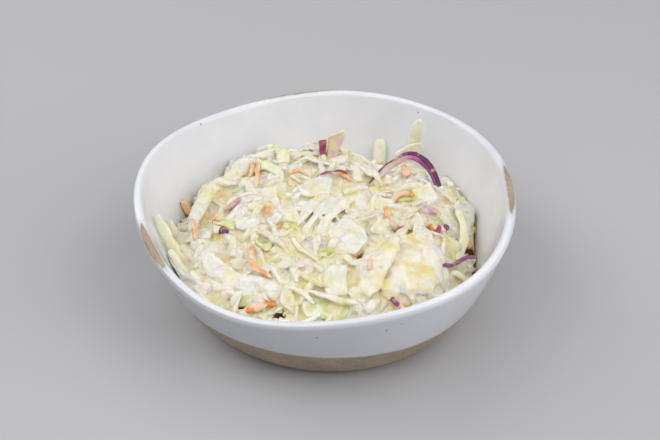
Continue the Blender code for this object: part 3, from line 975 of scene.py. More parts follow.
def strip_tree():
    """Geometry Nodes tree that sweeps each laid line into a closed cut strip: lens
    shaped across, cupped over its width, and crumpled by noise of its own."""
    tree = bpy.data.node_groups.new("cut strips", "GeometryNodeTree")
    tree.interface.new_socket("Geometry", in_out="INPUT", socket_type="NodeSocketGeometry")
    tree.interface.new_socket("Sides", in_out="INPUT", socket_type="NodeSocketInt")
    for name in ("Cup", "Crumple", "Crumple Size"):
        tree.interface.new_socket(name, in_out="INPUT", socket_type="NodeSocketFloat")
    tree.interface.new_socket("Seed", in_out="INPUT", socket_type="NodeSocketFloat")
    tree.interface.new_socket("Material", in_out="INPUT", socket_type="NodeSocketMaterial")
    tree.interface.new_socket("Geometry", in_out="OUTPUT", socket_type="NodeSocketGeometry")
    size = add(tree, "NodeGroupInput").outputs

    def maths(operation, *values):
        return add(
            tree, "ShaderNodeMath", dict(enumerate(values)), operation=operation
        ).outputs[0]

    def vectors(operation, first, second, socket=1):
        made = add(
            tree, "ShaderNodeVectorMath", {0: first, socket: second}, operation=operation
        )
        return made.outputs["Vector"]

    def attribute(name, data_type="FLOAT_VECTOR"):
        made = add(
            tree, "GeometryNodeInputNamedAttribute", {"Name": name}, data_type=data_type
        )
        return made.outputs["Attribute"]

    section = add(
        tree, "GeometryNodeCurvePrimitiveCircle",
        {"Resolution": size["Sides"], "Radius": 1.0}, mode="RADIUS",
    ).outputs["Curve"]  # fmt: skip
    section = add(
        tree, "GeometryNodeStoreNamedAttribute",
        {"Geometry": section, "Name": "ring", "Value": add(tree, "GeometryNodeInputPosition")},
        data_type="FLOAT_VECTOR", domain="POINT",
    )  # fmt: skip
    lines = add(tree, "GeometryNodeMeshToCurve", {"Mesh": size["Geometry"]})
    strips = add(
        tree, "GeometryNodeCurveToMesh",
        {"Curve": lines, "Profile Curve": section, "Fill Caps": True},
    )  # fmt: skip
    ring = add(tree, "ShaderNodeSeparateXYZ", {0: attribute("ring")}).outputs
    wide, thick = attribute("wide", "FLOAT"), attribute("thick", "FLOAT")
    tone = attribute("tone", "FLOAT")
    across = maths("MULTIPLY", ring[0], wide)
    # Squarer than an ellipse across, so that the cut edges have some height
    square = maths("MULTIPLY", ring[1], maths("MULTIPLY_ADD", maths("ABSOLUTE", ring[0]), 0.35, 1.0))
    sag = maths("MULTIPLY", maths("MULTIPLY", ring[0], ring[0]), maths("MULTIPLY", wide, size["Cup"]))
    height = maths("SUBTRACT", maths("MULTIPLY", square, thick), sag)
    place = vectors("ADD", attribute("middle"), vectors("SCALE", attribute("side"), across, "Scale"))
    place = vectors("ADD", place, vectors("SCALE", attribute("up"), height, "Scale"))
    wander = add(
        tree, "ShaderNodeTexNoise",
        {"Vector": place, "Detail": 1.0, "Scale": maths("DIVIDE", 1.0, size["Crumple Size"]),
         "W": maths("MULTIPLY_ADD", tone, 60.0, size["Seed"])},
        noise_dimensions="4D",
    )  # fmt: skip
    wander = vectors("SUBTRACT", wander.outputs["Color"], (0.5, 0.5, 0.5))
    wander = vectors("SCALE", wander, size["Crumple"], "Scale")
    place = vectors("ADD", place, wander)
    strips = add(
        tree, "GeometryNodeStoreNamedAttribute",
        {"Geometry": strips, "Name": "grain",
         "Value": add(tree, "ShaderNodeCombineXYZ", {0: attribute("along", "FLOAT"), 1: across,
                                                     2: maths("MULTIPLY", tone, 0.2)})},
        data_type="FLOAT_VECTOR", domain="POINT",
    )  # fmt: skip
    strips = add(tree, "GeometryNodeSetPosition", {"Geometry": strips, "Position": place})
    strips = add(tree, "GeometryNodeSetShadeSmooth", {"Geometry": strips})
    strips = add(tree, "GeometryNodeRealizeInstances", {"Geometry": strips})
    strips = add(
        tree, "GeometryNodeSetMaterial", {"Geometry": strips, "Material": size["Material"]}
    )
    add(tree, "NodeGroupOutput", {"Geometry": strips})
    return tree


def sweep(name, strips, tree, material, **sizes):
    """One piece from laid strips, made by the tree and kept inside the bowl."""
    data = bpy.data.meshes.new(name)
    points, edges = [], []
    for strip in strips:
        start = len(points)
        points += [tuple(point * MM) for point in strip["middle"]]
        edges += [(i, i + 1) for i in range(start, len(points) - 1)]
    data.from_pydata(points, edges, [])
    for key in ("middle", "side", "up"):
        scale = MM if key == "middle" else 1.0
        values = np.concatenate([strip[key] * scale for strip in strips])
        layer = data.attributes.new(key, "FLOAT_VECTOR", "POINT")
        layer.data.foreach_set("vector", values.astype(np.float32).ravel())
    lengths = [np.linalg.norm(np.gradient(strip["middle"], axis=0), axis=1) for strip in strips]
    floats = {
        "wide": [strip["wide"] * MM for strip in strips],
        "thick": [strip["thick"] * MM for strip in strips],
        "tone": [np.broadcast_to(strip["tone"], len(strip["wide"])) for strip in strips],
        "along": [np.cumsum(length) * MM for length in lengths],
    }
    for key, values in floats.items():
        layer = data.attributes.new(key, "FLOAT", "POINT")
        layer.data.foreach_set("value", np.concatenate(values).astype(np.float32))
    lines = bpy.data.objects.new(name, data)
    bpy.context.scene.collection.objects.link(lines)
    modifier = lines.modifiers.new(name, "NODES")
    modifier.node_group = tree
    sockets = {item.name: item.identifier for item in tree.interface.items_tree
               if item.in_out == "INPUT"}  # fmt: skip
    for key, value in sizes.items():
        modifier[sockets[key.replace("_", " ").title()]] = value
    modifier[sockets["Material"]] = material
    graph = bpy.context.evaluated_depsgraph_get()
    data = bpy.data.meshes.new_from_object(lines.evaluated_get(graph))
    lines.modifiers.remove(modifier)
    for key in ("middle", "side", "up", "wide", "thick", "along", "ring"):
        data.attributes.remove(data.attributes[key])
    points = np.empty(len(data.vertices) * 3, np.float32)
    data.vertices.foreach_get("co", points)
    points = keep_in_bowl(points.reshape(-1, 3).astype(float) / MM) * MM
    data.vertices.foreach_set("co", points.astype(np.float32).ravel())
    shell = bmesh.new()
    shell.from_mesh(data)
    bmesh.ops.recalc_face_normals(shell, faces=shell.faces)
    shell.to_mesh(data)
    shell.free()
    data.materials.clear()
    data.materials.append(material)
    lines.data = data
    return lines


def points_of(data):
    """A mesh's points, in mm."""
    points = np.empty(len(data.vertices) * 3, np.float32)
    data.vertices.foreach_get("co", points)
    return points.reshape(-1, 3).astype(float) / MM


def smooth_path(spots, steps):
    """Points on a Catmull-Rom curve through the given ones."""
    spots = [np.asarray(spot, float) for spot in spots]
    ends = [2 * spots[0] - spots[1], *spots, 2 * spots[-1] - spots[-2]]
    path = []
    for before, start, end, after in zip(ends, ends[1:], ends[2:], ends[3:]):
        for t in np.arange(steps) / steps:
            bent = 2 * before - 5 * start + 4 * end - after
            last = 3 * start - before - 3 * end + after
            path.append(start + ((end - before) * t + bent * t**2 + last * t**3) / 2)
    path.append(spots[-1])
    return np.array(path)


def cut_sizes(count, widths, thickness, rough, chance):
    """Half widths and half thicknesses along a strip, thinner and rounder at its ends."""
    shares = np.linspace(0, 1, count)
    ends = np.abs(2 * shares - 1) ** 8
    wide = np.interp(shares, np.linspace(0, 1, len(widths)), widths) / 2
    wide *= 1 - 0.35 * ends
    wide *= np.array([chance.uniform(1 - rough, 1 + rough) for _ in shares])
    return wide, thickness / 2 * (1 - 0.5 * ends)


def place(pile, kind, spots, widths, thickness, tone, stiff=0.4, roll=0.0, rough=0.06):
    """Lays one chosen piece over (x, y, lift above the pile)."""
    path = smooth_path(spots, max(2, 10 // (len(spots) - 1)))
    wide, thick = cut_sizes(len(path), widths, thickness, rough, pile.chance)
    strip = pile.lay(path[:, :2], wide, thick, stiff, path[:, 2], roll)
    strip["kind"] = kind
    strip["tone"] = tone
    return strip


def stand(pile, kind, spots, widths, thickness, tone, face, rough=0.03):
    """A chosen piece that stands free, over (x, y, z), with its flat side this way."""
    path = smooth_path(spots, max(3, 16 // (len(spots) - 1)))
    wide, thick = cut_sizes(len(path), widths, thickness, rough, pile.chance)
    along = np.gradient(path, axis=0)
    along /= np.linalg.norm(along, axis=1)[:, None]
    side = np.cross(along, np.asarray(face, float))
    side /= np.linalg.norm(side, axis=1)[:, None]
    up = np.cross(side, along)
    if len(np.shape(tone)):
        tone = np.interp(np.linspace(0, 1, len(path)), np.linspace(0, 1, len(tone)), tone)
    return {"middle": path, "side": side, "up": up, "wide": wide, "thick": thick,
            "tone": tone, "kind": kind}  # fmt: skip


def on_heap(spots):
    return [(x, y, float(heap_height(x, y)) + lift) for x, y, lift in spots]


def on_wall(angle, rise, width):
    """A point off the bowl's inner wall, so that a strip this wide has an edge on it."""
    angle = math.radians(angle)
    radius, height = wall_point(angle, rise, WALL + 0.6 + 0.5 * width)
    return radius * math.cos(angle), radius * math.sin(angle), height


def flesh_colour(kind, tone):
    """Linear colour of a kind at a tone, read off its stops."""
    places = [place for place, _ in STOPS[kind]]
    codes = np.array([srgb(code)[:3] for _, code in STOPS[kind]])
    return [np.interp(tone, places, codes[:, i]) for i in range(3)]


def core_shell(level):
    """Closed solid of dressing under the salad, up to a level field on the pile's grid."""
    sectors, rings = 180, 56
    angles = np.arange(sectors) * math.tau / sectors
    edge = FILL + waves(angles, FILL_WAVES)
    rows = []
    for share in (0.03, 0.15, 0.4, 0.7, 0.92):
        radius, height = wall_point(angles, share * edge, WALL + 0.8)
        rows.append(np.stack([radius * np.cos(angles), radius * np.sin(angles), height], 1))
    for ring in range(rings, 0, -1):
        radius = (heap_edge(angles)[0] - 1.0) * ring / rings
        plan = np.stack([radius * np.cos(angles), radius * np.sin(angles)], 1)
        rows.append(np.column_stack([plan, pile.at(plan, level)]))
    top = float(pile.at(np.zeros((1, 2)), level)[0])
    points = np.concatenate([*rows, [[0, 0, WALL + 0.8], [0, 0, top]]])
    faces = ring_faces(len(rows), sectors)
    count = len(rows) * sectors
    last = (len(rows) - 1) * sectors
    for i in range(sectors):
        j = (i + 1) % sectors
        faces.append((i, j, count))
        faces.append((last + i, last + j, count + 1))
    return mesh_object("core", keep_in_bowl(points), faces, None)


def mark_depth(obj, pile, level, gap_weight=0.0, share=1.0):
    """Notes how deep each point of a piece lies below the top of the salad, in mm, or
    this share of it for a piece whose own colour shows through. The materials paint
    shade from this depth."""
    points = points_of(obj.data)
    depth = pile.at(points[:, :2], level) - points[:, 2] + gap_weight * gap_share(points)[1]
    depth *= share
    marks = obj.data.attributes.new("deep", "FLOAT", "POINT")
    marks.data.foreach_set("value", depth.astype(np.float32))


def dressing_coat(pile, pieces, level, material):
    """The dressing: the salad and a core under it in one skin, smoothed so that it
    fills the hollows and draws back from thin shreds. Each point knows the colour of
    the cut piece next to it and how thick the dressing is there."""
    core = core_shell(level - CORE_DROP)
    joined = bmesh.new()
    for obj in (core, *[obj for obj, kind in pieces if kind not in BARE_KINDS]):
        joined.from_mesh(obj.data)
    data = bpy.data.meshes.new("dressing")
    joined.to_mesh(data)
    joined.free()
    bpy.data.objects.remove(core)
    coat = bpy.data.objects.new("creamy_dressing", data)
    bpy.context.scene.collection.objects.link(coat)
    skin = coat.modifiers.new("skin", "REMESH")
    skin.mode = "VOXEL"
    skin.voxel_size = COAT_VOXEL * MM
    relax = coat.modifiers.new("relax", "SMOOTH")
    relax.factor = 0.5
    relax.iterations = COAT_SMOOTHING
    shrink = coat.modifiers.new("shrink", "DISPLACE")
    shrink.mid_level = 0.0
    shrink.strength = -COAT_DRAWN_BACK * MM
    graph = bpy.context.evaluated_depsgraph_get()
    data = bpy.data.meshes.new_from_object(coat.evaluated_get(graph))
    coat.modifiers.clear()
    coat.data = data
    points = points_of(data)
    normals = np.array([vertex.normal for vertex in data.vertices])
    lumps = np.array([
        0.3 * noise.noise(Vector(point) / 2.6) + 0.18 * noise.noise(Vector(point) / 1.2)
        for point in points
    ])  # fmt: skip
    off_x, off_y = points[:, 0] - CREAMY_SPOT[0], points[:, 1] - CREAMY_SPOT[1]
    creamy_share = bump(np.hypot(off_x, off_y), CREAMY_SPOT[2])
    lumps = lumps * (1 + 1.4 * creamy_share) + CREAMY_DEPTH * creamy_share
    points = dent(points + normals * lumps[:, None])
    points = keep_in_bowl(points, 0.35)
    data.vertices.foreach_set("co", (points * MM).astype(np.float32).ravel())
    data.calc_loop_triangles()
    fewer = coat.modifiers.new("fewer", "DECIMATE")
    fewer.ratio = min(1.0, COAT_TRIANGLES / len(data.loop_triangles))
    graph = bpy.context.evaluated_depsgraph_get()
    data = bpy.data.meshes.new_from_object(coat.evaluated_get(graph))
    coat.modifiers.clear()
    coat.data = data
    points = points_of(data)
    nearest = KDTree(sum(len(obj.data.vertices) for obj, _ in pieces))
    colours, count = [], 0
    for obj, kind in pieces:
        tones = np.empty(len(obj.data.vertices), np.float32)
        obj.data.attributes["tone"].data.foreach_get("value", tones)
        colours.append(np.stack(flesh_colour(kind, tones), 1))
        for count, spot in enumerate(points_of(obj.data), count):
            nearest.insert(spot, count)
        count += 1
    nearest.balance()
    found = [nearest.find(point) for point in points]
    colours = np.concatenate(colours)[[index for _, index, _ in found]]
    under = data.attributes.new("under", "FLOAT_COLOR", "POINT")
    rgba = np.column_stack([colours, np.ones(len(colours))])
    under.data.foreach_set("color", rgba.astype(np.float32).ravel())
    thick = data.attributes.new("thick", "FLOAT", "POINT")
    thick.data.foreach_set("value", np.array([away for _, _, away in found], np.float32))
    data.materials.clear()
    data.materials.append(material)
    data.shade_smooth()
    return coat


# ---------------------------------------------------------------- pieces

stoneware = stoneware_material()
white_cabbage = vegetable_material(
    "white cabbage in dressing",
    WHITE_STOPS, "#fbf6ec", 0.9,
)  # fmt: skip
green_cabbage = vegetable_material(
    "green cabbage leaf in dressing",
    GREEN_STOPS, "#fbf5e3", 0.6,
)  # fmt: skip
carrot = vegetable_material(
    "carrot in dressing",
    CARROT_STOPS, "#f8dfc4", 0.75,
)  # fmt: skip
red_cabbage = vegetable_material(
    "red cabbage in dressing",
    RED_STOPS, "#e4c9d6", 0.2,
)  # fmt: skip
pale_cabbage = vegetable_material(
    "pale red cabbage rib in dressing",
    PALE_STOPS, "#fbf2e4", 0.6,
)  # fmt: skip
dressing = dressing_material()

bowl = make_bowl(stoneware)
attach(bowl, "root")
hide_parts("bowl")

pile = Pile(drop=5.0, chance=random.Random(7))
laid = []
misses = 0
while misses < 900 and len(laid) < 2000:
    angle = pile.chance.uniform(0, math.tau)
    share = math.sqrt(pile.chance.random()) * 0.97
    radius = share * float(heap_edge(angle)[0])
    spot = np.array([[radius * math.cos(angle), radius * math.sin(angle)]])
    in_gap = gap_share(spot)[0][0] > 0
    if in_gap or pile.at(spot)[0] > pile.at(spot, pile.goal)[0] - 0.7:
        misses += 1
        continue
    draw, kind = pile.chance.random(), MIX[-1][0]
    for name, weight in MIX:
        if draw < weight:
            kind = name
            break
        draw -= weight
    lay_one = lay_chip if kind in CHIPS else lay_cut
    laid.append(lay_one(pile, kind, *spot[0]))
fill_level = pile.settled(2.0)
under_large = pile.height.copy()
WHITE_STRIPS = 8  # how many of the placed strips lie under the large flat pieces
PLACED = (  # kind, (x, y, lift above the pile), widths, thickness, tone
    # white strips
    ("white", ((-61, -6, 0), (-60, 5, 1), (-55.5, 21, 1.5), (-47, 34, 0)), (5, 6.5, 7, 5.5), 3.6, 0.66),
    ("white", ((-36, 45, 0.5), (-42, 38, 1), (-47, 30, 0)), (5, 9, 6), 1.6, 0.5),
    ("white", ((-42, 44, 0), (-25, 53, 1), (-9, 55, 0)), (3, 4.4, 3), 1.6, 0.85),
    ("white", ((3, 23, 0), (-8, 6, 0.8), (-18, -10, 0)), (6, 5.5, 3), 1.6, 0.6),
    ("white", ((8, 21, 0.3), (-3, 4, 1.0), (-12, -10, 0)), (4, 5, 3.4), 1.6, 0.5),
    ("white", ((13, 19, 0), (3, 5, 0.8), (-6, -12, 0)), (5, 5, 3), 1.6, 0.7),
    ("white", ((45, -18, 0.5), (48, -28, 1), (49, -37, 0)), (3.4, 5, 6.5), 2.4, 0.55),
    ("white", ((14, 37, 0.5), (20, 33, 2), (24, 29, 0)), (4, 4.5, 3), 1.6, 0.7),
    # green leaf
    ("green", ((-24, 54, 0), (-22, 46, 1), (-21, 38, 0)), (5, 6.5, 6), 1.3, 0.5),
    ("green", ((50, -8, 0), (54, -13, 1), (57, -18, 0)), (8, 9, 6), 0.7, 0.3),
    ("green", ((57, 10, 0), (60, -2, 1.5), (56, -18, 0)), (4, 5, 4), 0.9, 0.75),
    ("green", ((-60, -29, 0.5), (-56, -35, 0.3)), (4, 4), 0.7, 0.3),
    ("green", ((-36, 38, 0), (-29, 33, 1), (-21, 27, 0)), (5, 6, 4), 0.7, 0.55),
    ("green", ((-50, -1, 0), (-46, -5, 0.8), (-42, -9, 0)), (5, 6, 4), 0.7, 0.45),
    ("green", ((-21.5, -6, -0.7), (-14.5, -7, -0.7)), (5, 5), 1.2, 0.0),
    ("green", ((-6, -25, -0.7), (2, -24, -0.7)), (5, 5), 1.2, 0.0),
    ("green", ((-34, -20, -0.7), (-25, -20, -0.7)), (5.4, 5), 1.2, 0.0),
    ("green", ((19, 27, 0.2), (28, 23, 0.4)), (6, 5), 0.7, 0.5),
    ("green", ((58, 22, 0.2), (60.5, 12, 0.4)), (6, 5), 0.7, 0.45),
    # thin shreds over the front
    ("white", ((-9, -45.5, 0.6), (1, -51, 1.6), (11, -55.5, 0.4)), (2.6, 3, 2.4), 1.4, 0.95),
    ("white", ((-19.5, -42, 0.4), (-12.7, -46.2, 1.0), (-6.7, -51, 0.3)), (2, 2.4, 2), 1.2, 0.4),
    ("white", ((-14, -36, 0.3), (-7, -41.5, 0.8), (-1, -44, 0.2)), (2, 2.4, 2), 1.2, 0.9),
    # carrot
    ("carrot", ((34.5, 40, 1.5), (35.5, 34.5, 1.2)), (4.2, 4), 2.4, 0.6),
    ("carrot", ((27.5, 13.5, 0.3), (29.5, 15.5, 0.7), (33, 16, 0.8), (37.5, 14.5, 0.4)), (2.2, 2.8, 3.0, 2.2), 2.0, 0.1),
    ("carrot", ((24.5, 5, 1.0), (25, 1, 1.4), (25.5, -4, 1.0)), (2.4, 2.8, 2.4), 1.8, 0.6),
    ("carrot", ((-28, -4, 0.1), (-27.2, 2, 0.5), (-26.4, 7, 0.3)), (1.6, 2.4, 1.8), 1.6, 0.6),
    ("carrot", ((-34, -22, 0.3), (-33.5, -28, 0.8), (-32, -34, 0.6), (-28, -36.5, 0.5), (-25, -38.5, 0.2)),
     (2.2, 2.4, 2.6, 2.2, 2), 1.4, 0.75),
    ("carrot", ((-35, -52, 0.3), (-30, -51.5, 0.6), (-23, -48.5, 0.4)), (3.2, 3.2, 2.2), 2.0, 0.35),
    ("carrot", ((3, 29.5, 0.3), (7, 27.5, 0.6), (10, 26, 0.2)), (1.6, 3, 3.6), 1.4, 0.45),
    ("carrot", ((-36.5, 31, 0.4), (-36, 36, 1), (-35.5, 41, 0.5)), (2, 2.4, 2), 1.6, 0.5),
    ("carrot", ((17, -34.5, 0.4), (16.5, -40, 0.4)), (1.9, 1.9), 1.4, 0.3),
    ("carrot", ((-61, -1, 0.6), (-60, -6, 0.8), (-59, -11, 0.2)), (1.8, 2, 1.6), 1.4, 0.4),
    ("carrot", ((-18.5, 28, 0.1), (-14, 29.5, 0.3), (-9.5, 28.5, 0.1)), (1.2, 1.8, 1.2), 1.2, 0.7),
    ("carrot", ((-33.5, 22, 0.4), (-33, 28, 1), (-32.5, 36, 0.6)), (1.8, 2, 1.8), 1.4, 0.85),
    ("carrot", ((-52, 0, 0.4), (-48, -5, 0.3)), (1.6, 1.5), 1.2, 0.6),
    ("carrot", ((44, -1, 0.3), (45, -7, 0.3)), (1.8, 1.7), 1.2, 0.6),
    # red cabbage
    ("red", ((-46, 12.5, 0.9), (-41, 9.5, 0.9)), (7.5, 6), 1.4, 0.8),
    ("red", ((-48, -11, 0.5), (-44, -14, 0.3)), (4.2, 1.6), 1.6, 0.05),
    ("red", ((-6, 27.5, 0.2), (0, 30, 0.4), (4, 29.5, 0.4), (8, 27.5, 0.2)), (0.8, 1.1, 1.1, 0.8), 0.8, 0.3),
    ("red", ((41.5, 1, 0.8), (47.5, 6.5, 0.8)), (4.2, 4.2), 1.4, 0.92),
    ("red", ((51.8, -0.5, 0.7), (50.8, -4.5, 0.6)), (2.8, 2.4), 1.2, 0.2),
    ("red", ((48.4, -5.5, 0.6), (46.8, -8, 0.5)), (2.4, 2), 1.2, 0.45),
    ("red", ((48.5, -32, 0.4), (55, -24.5, 1.2), (64, -14, 4)), (2.2, 3, 2.2), 1.4, 0.15),
    ("red", ((25.5, -51, 0.5), (28.5, -53.5, 0.3)), (2.4, 2), 1.2, 0.3),
)  # fmt: skip
LARGE = (  # kind, corners (x, y, lift above the pile), lift of the middle, thickness, tone
    ("slab", ((-15.5, 23.6, 0.5), (-8.7, 27.6, 0.5), (1.4, 24.6, 0.8), (-0.9, 12, 0.3), (-12.1, 13.9, 0)), 1.0, 1.6, 0.6),
    ("slab", ((-31, 22, 0.3), (-24.5, 22.6, 0.5), (-21.3, 3.5, 0.3), (-27.3, -2.9, 0)), 1.2, 1.6, 0.6),
    ("slab", ((-23.2, 6, 0.3), (-16.5, 8.8, 0.4), (-13.3, -1.8, 0.8), (-19.3, -8.6, 0)), 0.8, 1.6, 0.5),
    ("slab", ((37, 17.4, 0.5), (45.4, 21.2, 0.5), (48.5, 12.3, 0.3), (40.2, 6.2, 0)), 1.2, 2.6, 0.55),
    ("slab", ((-51.7, -35.4, 0.6), (-43, -37.5, 0.8), (-41.6, -42.8, 0.3), (-49.4, -40.1, 0)), 0.6, 1.2, 0.15),
    ("slab", ((-57, -18, 0.2), (-50.2, -22, 0.6), (-40.2, -33, 1.2), (-31.4, -38.7, 1.0), (-21.2, -40.1, 0.3),
              (-22.4, -45.1, 0.0), (-28.8, -43.7, -0.6), (-35.6, -43.7, -0.8), (-44.2, -39.6, -0.4),
              (-54.2, -30.2, 0)), 2.2, 1.8, 0.72),
    ("blade", ((-13, -47, 0.2), (-3, -46.5, 0.8), (7, -50, 0.6), (11, -56, 0.3), (0, -58, 0.4), (-10, -55.5, 0.2)),
     0.8, 1.2, 0.3),
    ("slab", ((-2.6, -35.1, 0.3), (6.8, -34.1, 0.5), (7.1, -48.8, 0.6), (2.5, -49.4, 0.8), (-2.1, -47.4, 0.4)), 1.2, 3.0, 0.5),
    ("slab", ((-1.3, -11.1, 0.2), (7.5, 0.2, 0.3), (16.1, -13.6, 1.4), (15.5, -20.9, 1.6), (9, -26.3, 1.4),
              (3.4, -23.3, 0.6)), 1.6, 1.8, 0.42),
    ("lilac", ((28, -10.5, 0.8), (38, -1, 1.2), (45, 5.5, 0.6), (44, 2.8, 0.6), (38, -4.4, 1.0), (31, -13.5, 0.6)),
     1.8, 1.6, 0.55),
    ("cream", ((26, -19, 0.6), (37.2, -11.5, 0.2), (44.7, -12.1, 0.4), (46, -20.8, 0.6), (42.9, -30, 0.6),
               (47, -38.5, 0.2), (41.8, -46.6, 0.8), (30.3, -48.1, 1.2), (22.7, -47.6, 1.0), (21, -34, 1.0)),
     2.2, 1.8, 0.6),
    ("cream", ((14.2, -23.4, 0.6), (21.1, -22.5, 1.6), (29.4, -18.8, 0.8), (29, -30, 1.6), (23.5, -41, 1.2),
               (20.5, -48, 0.8), (16.3, -51.7, -0.4), (12.6, -45.2, -0.6), (12.8, -33.7, 0.0)), 2.6, 2.2, 0.55),
    ("cream", ((40.5, -27, 0.8), (43.5, -24, 1.6), (46.4, -29.1, 1.2), (50.2, -33.5, 0.3), (47.3, -39, 0.2),
               (41, -36, 0.6)), 1.8, 2.2, 0.75),
)  # fmt: skip
for kind, spots, widths, thickness, tone in PLACED[:WHITE_STRIPS]:
    laid.append(place(pile, kind, spots, widths, thickness, tone))
for kind, corners, middle_lift, thickness, tone in LARGE:
    folds = (1.7, 8.0) if kind == "cream" else (1.1, 5.0)
    laid.append(lay_large(pile, kind, corners, middle_lift, thickness, tone, 0.35, *folds))
large_rise = pile.height - under_large
for _ in range(TOPPING):
    angle = pile.chance.uniform(0, math.tau)
    radius = math.sqrt(pile.chance.random()) * 0.95 * float(heap_edge(angle)[0])
    spot = (radius * math.cos(angle), radius * math.sin(angle))
    on_large = pile.at(np.array([spot]), large_rise)[0] > 0.4
    if on_large or near_gap(spot, TOPPING_OFF_GAPS):
        continue
    kind = pile.chance.choice(("shred", "flake", "flake", "rib", "scrap"))
    lay_one = lay_chip if kind in CHIPS else lay_cut
    laid.append(lay_one(pile, kind, *spot))
for kind, spots, widths, thickness, tone in PLACED[WHITE_STRIPS:]:
    laid.append(place(pile, kind, spots, widths, thickness, tone))
TOWARDS_FRONT = (0.0, -1.0, 0.4)
ARCH = ((18, 30, -0.5), (26, 38, 7), (37, 42, 14), (46, 35, 9.2), (51.5, 23, -0.5))
ARCH_FLESH = ((18.5, 29.4, -1.2), (26.4, 37, 5.8), (37, 41, 12.4), (45.4, 34.4, 7.6), (50.7, 22.4, -1.6))
WEDGE = ((-0.6, 50, 48), (6.4, 50.6, 51.3), (7, 50.4, 47.5), (4.4, 50, 41), (2.4, 49, 33), (-1.8, 49, 33))
WEDGE_SKIN = ((-5.2, 48.6, 45.6), (-1.4, 49.2, 46.4), (-1.9, 49, 43.2), (-2.8, 48, 35), (-5.2, 48, 41))
BLADE = ((36.6, 56, 30), (38.2, 56.4, 49.5), (41.6, 57, 52.6), (43.4, 58, 51.2), (42.0, 56.6, 30))
BLADE_CURL = ((30.6, 54, 35), (36.5, 54.4, 39.5), (42.4, 54.6, 40.6), (43.8, 54.8, 36), (38.5, 54.2, 34), (33, 53.5, 31))
laid += [
    stand(pile, "red", on_heap(ARCH_FLESH), (2.4, 3.4, 3.0, 3.0, 2.4), 1.4,
          (1.15, 1.1, 0.7, 0.2, 0.16), (-0.2, -0.7, 0.7)),
    stand(pile, "red", on_heap(ARCH), (1.3, 1.3, 2.2, 2.6, 2.4), 1.4,
          (0.15, 0.1, 0.02, -0.1, -0.1), (-0.2, -0.7, 0.7)),
    stand(pile, "carrot", ((-67.2, 19.5, 33.2), (-65.6, 19, 30.0), (-63.4, 17.5, 27.0)),
          (2.6, 4.0, 3.4), 2.4, 0.0, TOWARDS_FRONT),
    stand_large("lilac", WEDGE, 1.8, 0.3),
    stand_large("skin", WEDGE_SKIN, 1.6, 0.42),
    stand_large("blade", BLADE, 1.4, 0.8),
    stand_large("slab", BLADE_CURL, 1.4, 0.8),
    stand(pile, "green", (on_wall(68.5, 0.30, 4), on_wall(70.5, 0.62, 4)), (6.6, 6.4, 5.4), 1.4,
          (0.95, 0.95), TOWARDS_FRONT),
    stand(pile, "green", (on_wall(199, 0.30, 4), on_wall(187, 0.84, 4)), (6, 5, 4), 1.4,
          (0.7, 0.8), TOWARDS_FRONT),
    stand(pile, "green", (on_wall(190, 0.22, 4), on_wall(179, 0.60, 4)), (5, 4, 3.4), 1.4,
          (0.8, 0.7), TOWARDS_FRONT),
    stand(pile, "green", (on_wall(208, 0.26, 4), on_wall(195, 0.64, 4)), (5, 5, 3), 1.4,
          (0.95, 0.85), TOWARDS_FRONT),
]  # fmt: skip

tree = strip_tree()
pick = {}
for strip in laid:
    pick.setdefault(strip["kind"], []).append(strip)
shreds = sweep("white_cabbage_shreds", pick["shred"], tree, white_cabbage, sides=6,
               cup=0.15, crumple=0.0015, crumple_size=0.005, seed=1.0)  # fmt: skip
flakes = chips_piece("white_cabbage_flakes", pick["flake"], white_cabbage)
scraps = chips_piece("green_cabbage_scraps", pick["scrap"], green_cabbage)
leaves = sweep("green_cabbage_leaves", pick["leaf"], tree, green_cabbage, sides=8,
               cup=0.3, crumple=0.0026, crumple_size=0.006, seed=3.0)  # fmt: skip
ribs = sweep("cabbage_rib_chips", pick["rib"], tree, white_cabbage, sides=6,
             cup=0.05, crumple=0.0008, crumple_size=0.008, seed=4.0)  # fmt: skip

whites = sweep("large_cabbage_pieces", pick["white"], tree, white_cabbage, sides=16,
               cup=0.12, crumple=0.0016, crumple_size=0.007, seed=5.0)  # fmt: skip
slabs = chips_piece("large_cabbage_chips", pick["slab"], white_cabbage)
creamy = chips_piece("creamy_cabbage_leaf", pick["cream"], white_cabbage)
lilacs = chips_piece("pale_red_cabbage_chips", pick["lilac"], pale_cabbage)
skins = chips_piece("magenta_cabbage_skin", pick["skin"], red_cabbage)
blades = chips_piece("green_cabbage_blade", pick["blade"], green_cabbage)
greens = sweep("green_cabbage_pieces", pick["green"], tree, green_cabbage, sides=14,
               cup=0.2, crumple=0.0022, crumple_size=0.006, seed=7.0)  # fmt: skip
carrots = sweep("carrot_shreds", pick["carrot"], tree, carrot, sides=12,
                cup=0.0, crumple=0.0008, crumple_size=0.005, seed=8.0)  # fmt: skip
reds = sweep("red_cabbage_shreds", pick["red"], tree, red_cabbage, sides=14,
             cup=0.05, crumple=0.0008, crumple_size=0.006, seed=9.0)  # fmt: skip

kinds = (
    (shreds, "shred"), (flakes, "flake"), (scraps, "scrap"), (leaves, "leaf"), (ribs, "rib"),
    (whites, "white"), (slabs, "slab"), (creamy, "cream"), (greens, "green"),
    (blades, "blade"), (lilacs, "lilac"), (skins, "skin"), (carrots, "carrot"), (reds, "red"),
)  # fmt: skip
core_level = 0.45 * fill_level + 0.55 * pile.settled(2.0)
coat = dressing_coat(pile, kinds, core_level, dressing)
level = pile.settled(3.0)
# Depth below the top paints shade into the colours: more in the dressing's gaps, less on brightly coloured pieces
for piece in (*[obj for obj, _ in kinds], coat):
    strong = piece in (carrots, reds, skins)
    mark_depth(piece, pile, level, 1.2 if piece is coat else 0.0, 0.4 if strong else 1.0)
    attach(piece, "root")
    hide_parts("coleslaw")

# ---------------------------------------------------------------- room

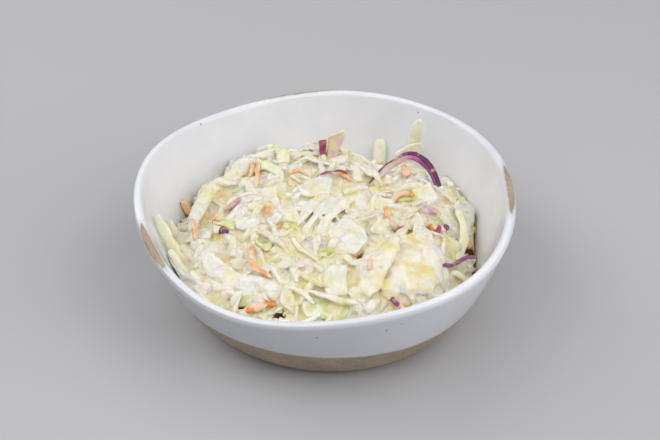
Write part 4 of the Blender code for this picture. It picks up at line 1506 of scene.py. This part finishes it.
floor_data = bpy.data.meshes.new("floor")
floor_data.from_pydata([(-3, -3, 0), (3, -3, 0), (3, 3, 0), (-3, 3, 0)], [], [(0, 1, 2, 3)])
floor = bpy.data.objects.new("floor", floor_data)
bpy.context.scene.collection.objects.link(floor)
paper, tree = new_material("pale grey paper")
finish_material(tree, add(
    tree, "ShaderNodeBsdfPrincipled",
    {"Base Color": srgb("#bfbfc2"), "Roughness": 0.8, "Specular IOR Level": 0.1},
))  # fmt: skip
floor_data.materials.append(paper)


def softbox(name, place, aim, size, power, colour="#ffffff"):
    data = bpy.data.lights.new(name, "AREA")
    data.shape = "RECTANGLE"
    data.size, data.size_y = size
    data.energy = power
    data.color = srgb(colour)[:3]
    obj = bpy.data.objects.new(name, data)
    obj.location = place
    obj.rotation_euler = (Vector(aim) - Vector(place)).to_track_quat("-Z", "Y").to_euler()
    bpy.context.scene.collection.objects.link(obj)


SOFTBOXES = (  # name, place in metres, power: one broad soft light from all round
    ("left", (-0.8, 0.15, 1.0), 3.6),
    ("right", (0.8, 0.15, 1.0), 2.7),
    ("front_left", (-0.55, -0.5, 1.15), 3.6),
    ("front_right", (0.55, -0.5, 1.15), 4.4),
    ("front", (0.0, -1.0, 0.8), 1.8),
    ("back", (0.0, 0.75, 1.1), 2.5),
    ("low_back_left", (-0.9, 0.6, 0.6), 3.1),
    ("low_front_left", (-1.0, -0.6, 0.6), 1.0),
    ("low_front_right", (1.05, -0.55, 0.55), 3.0),
    ("low_right", (1.2, -0.3, 0.35), 2.7),
)
for name, spot, power in SOFTBOXES:
    softbox(f"{name}_softbox", spot, (0, 0, 0.03), (0.8, 0.8), power)

world = bpy.data.worlds.new("room")
bpy.context.scene.world = world
world.use_nodes = True
world.node_tree.nodes["Background"].inputs["Color"].default_value = srgb("#d8dade")
world.node_tree.nodes["Background"].inputs["Strength"].default_value = 0.03

camera_data = bpy.data.cameras.new("camera")
camera_data.lens = FOCAL_LENGTH
camera_data.sensor_width = 36.0
camera = bpy.data.objects.new("camera", camera_data)
slope = math.radians(CAMERA_ELEVATION)
aim = Vector(CAMERA_TARGET) * MM
back = Vector((0, -math.cos(slope), math.sin(slope)))
camera.location = aim + back * CAMERA_DISTANCE * MM
camera.rotation_euler = (-back).to_track_quat("-Z", "Y").to_euler()
bpy.context.scene.collection.objects.link(camera)
bpy.context.scene.camera = camera
bpy.context.scene.view_settings.view_transform = "Standard"
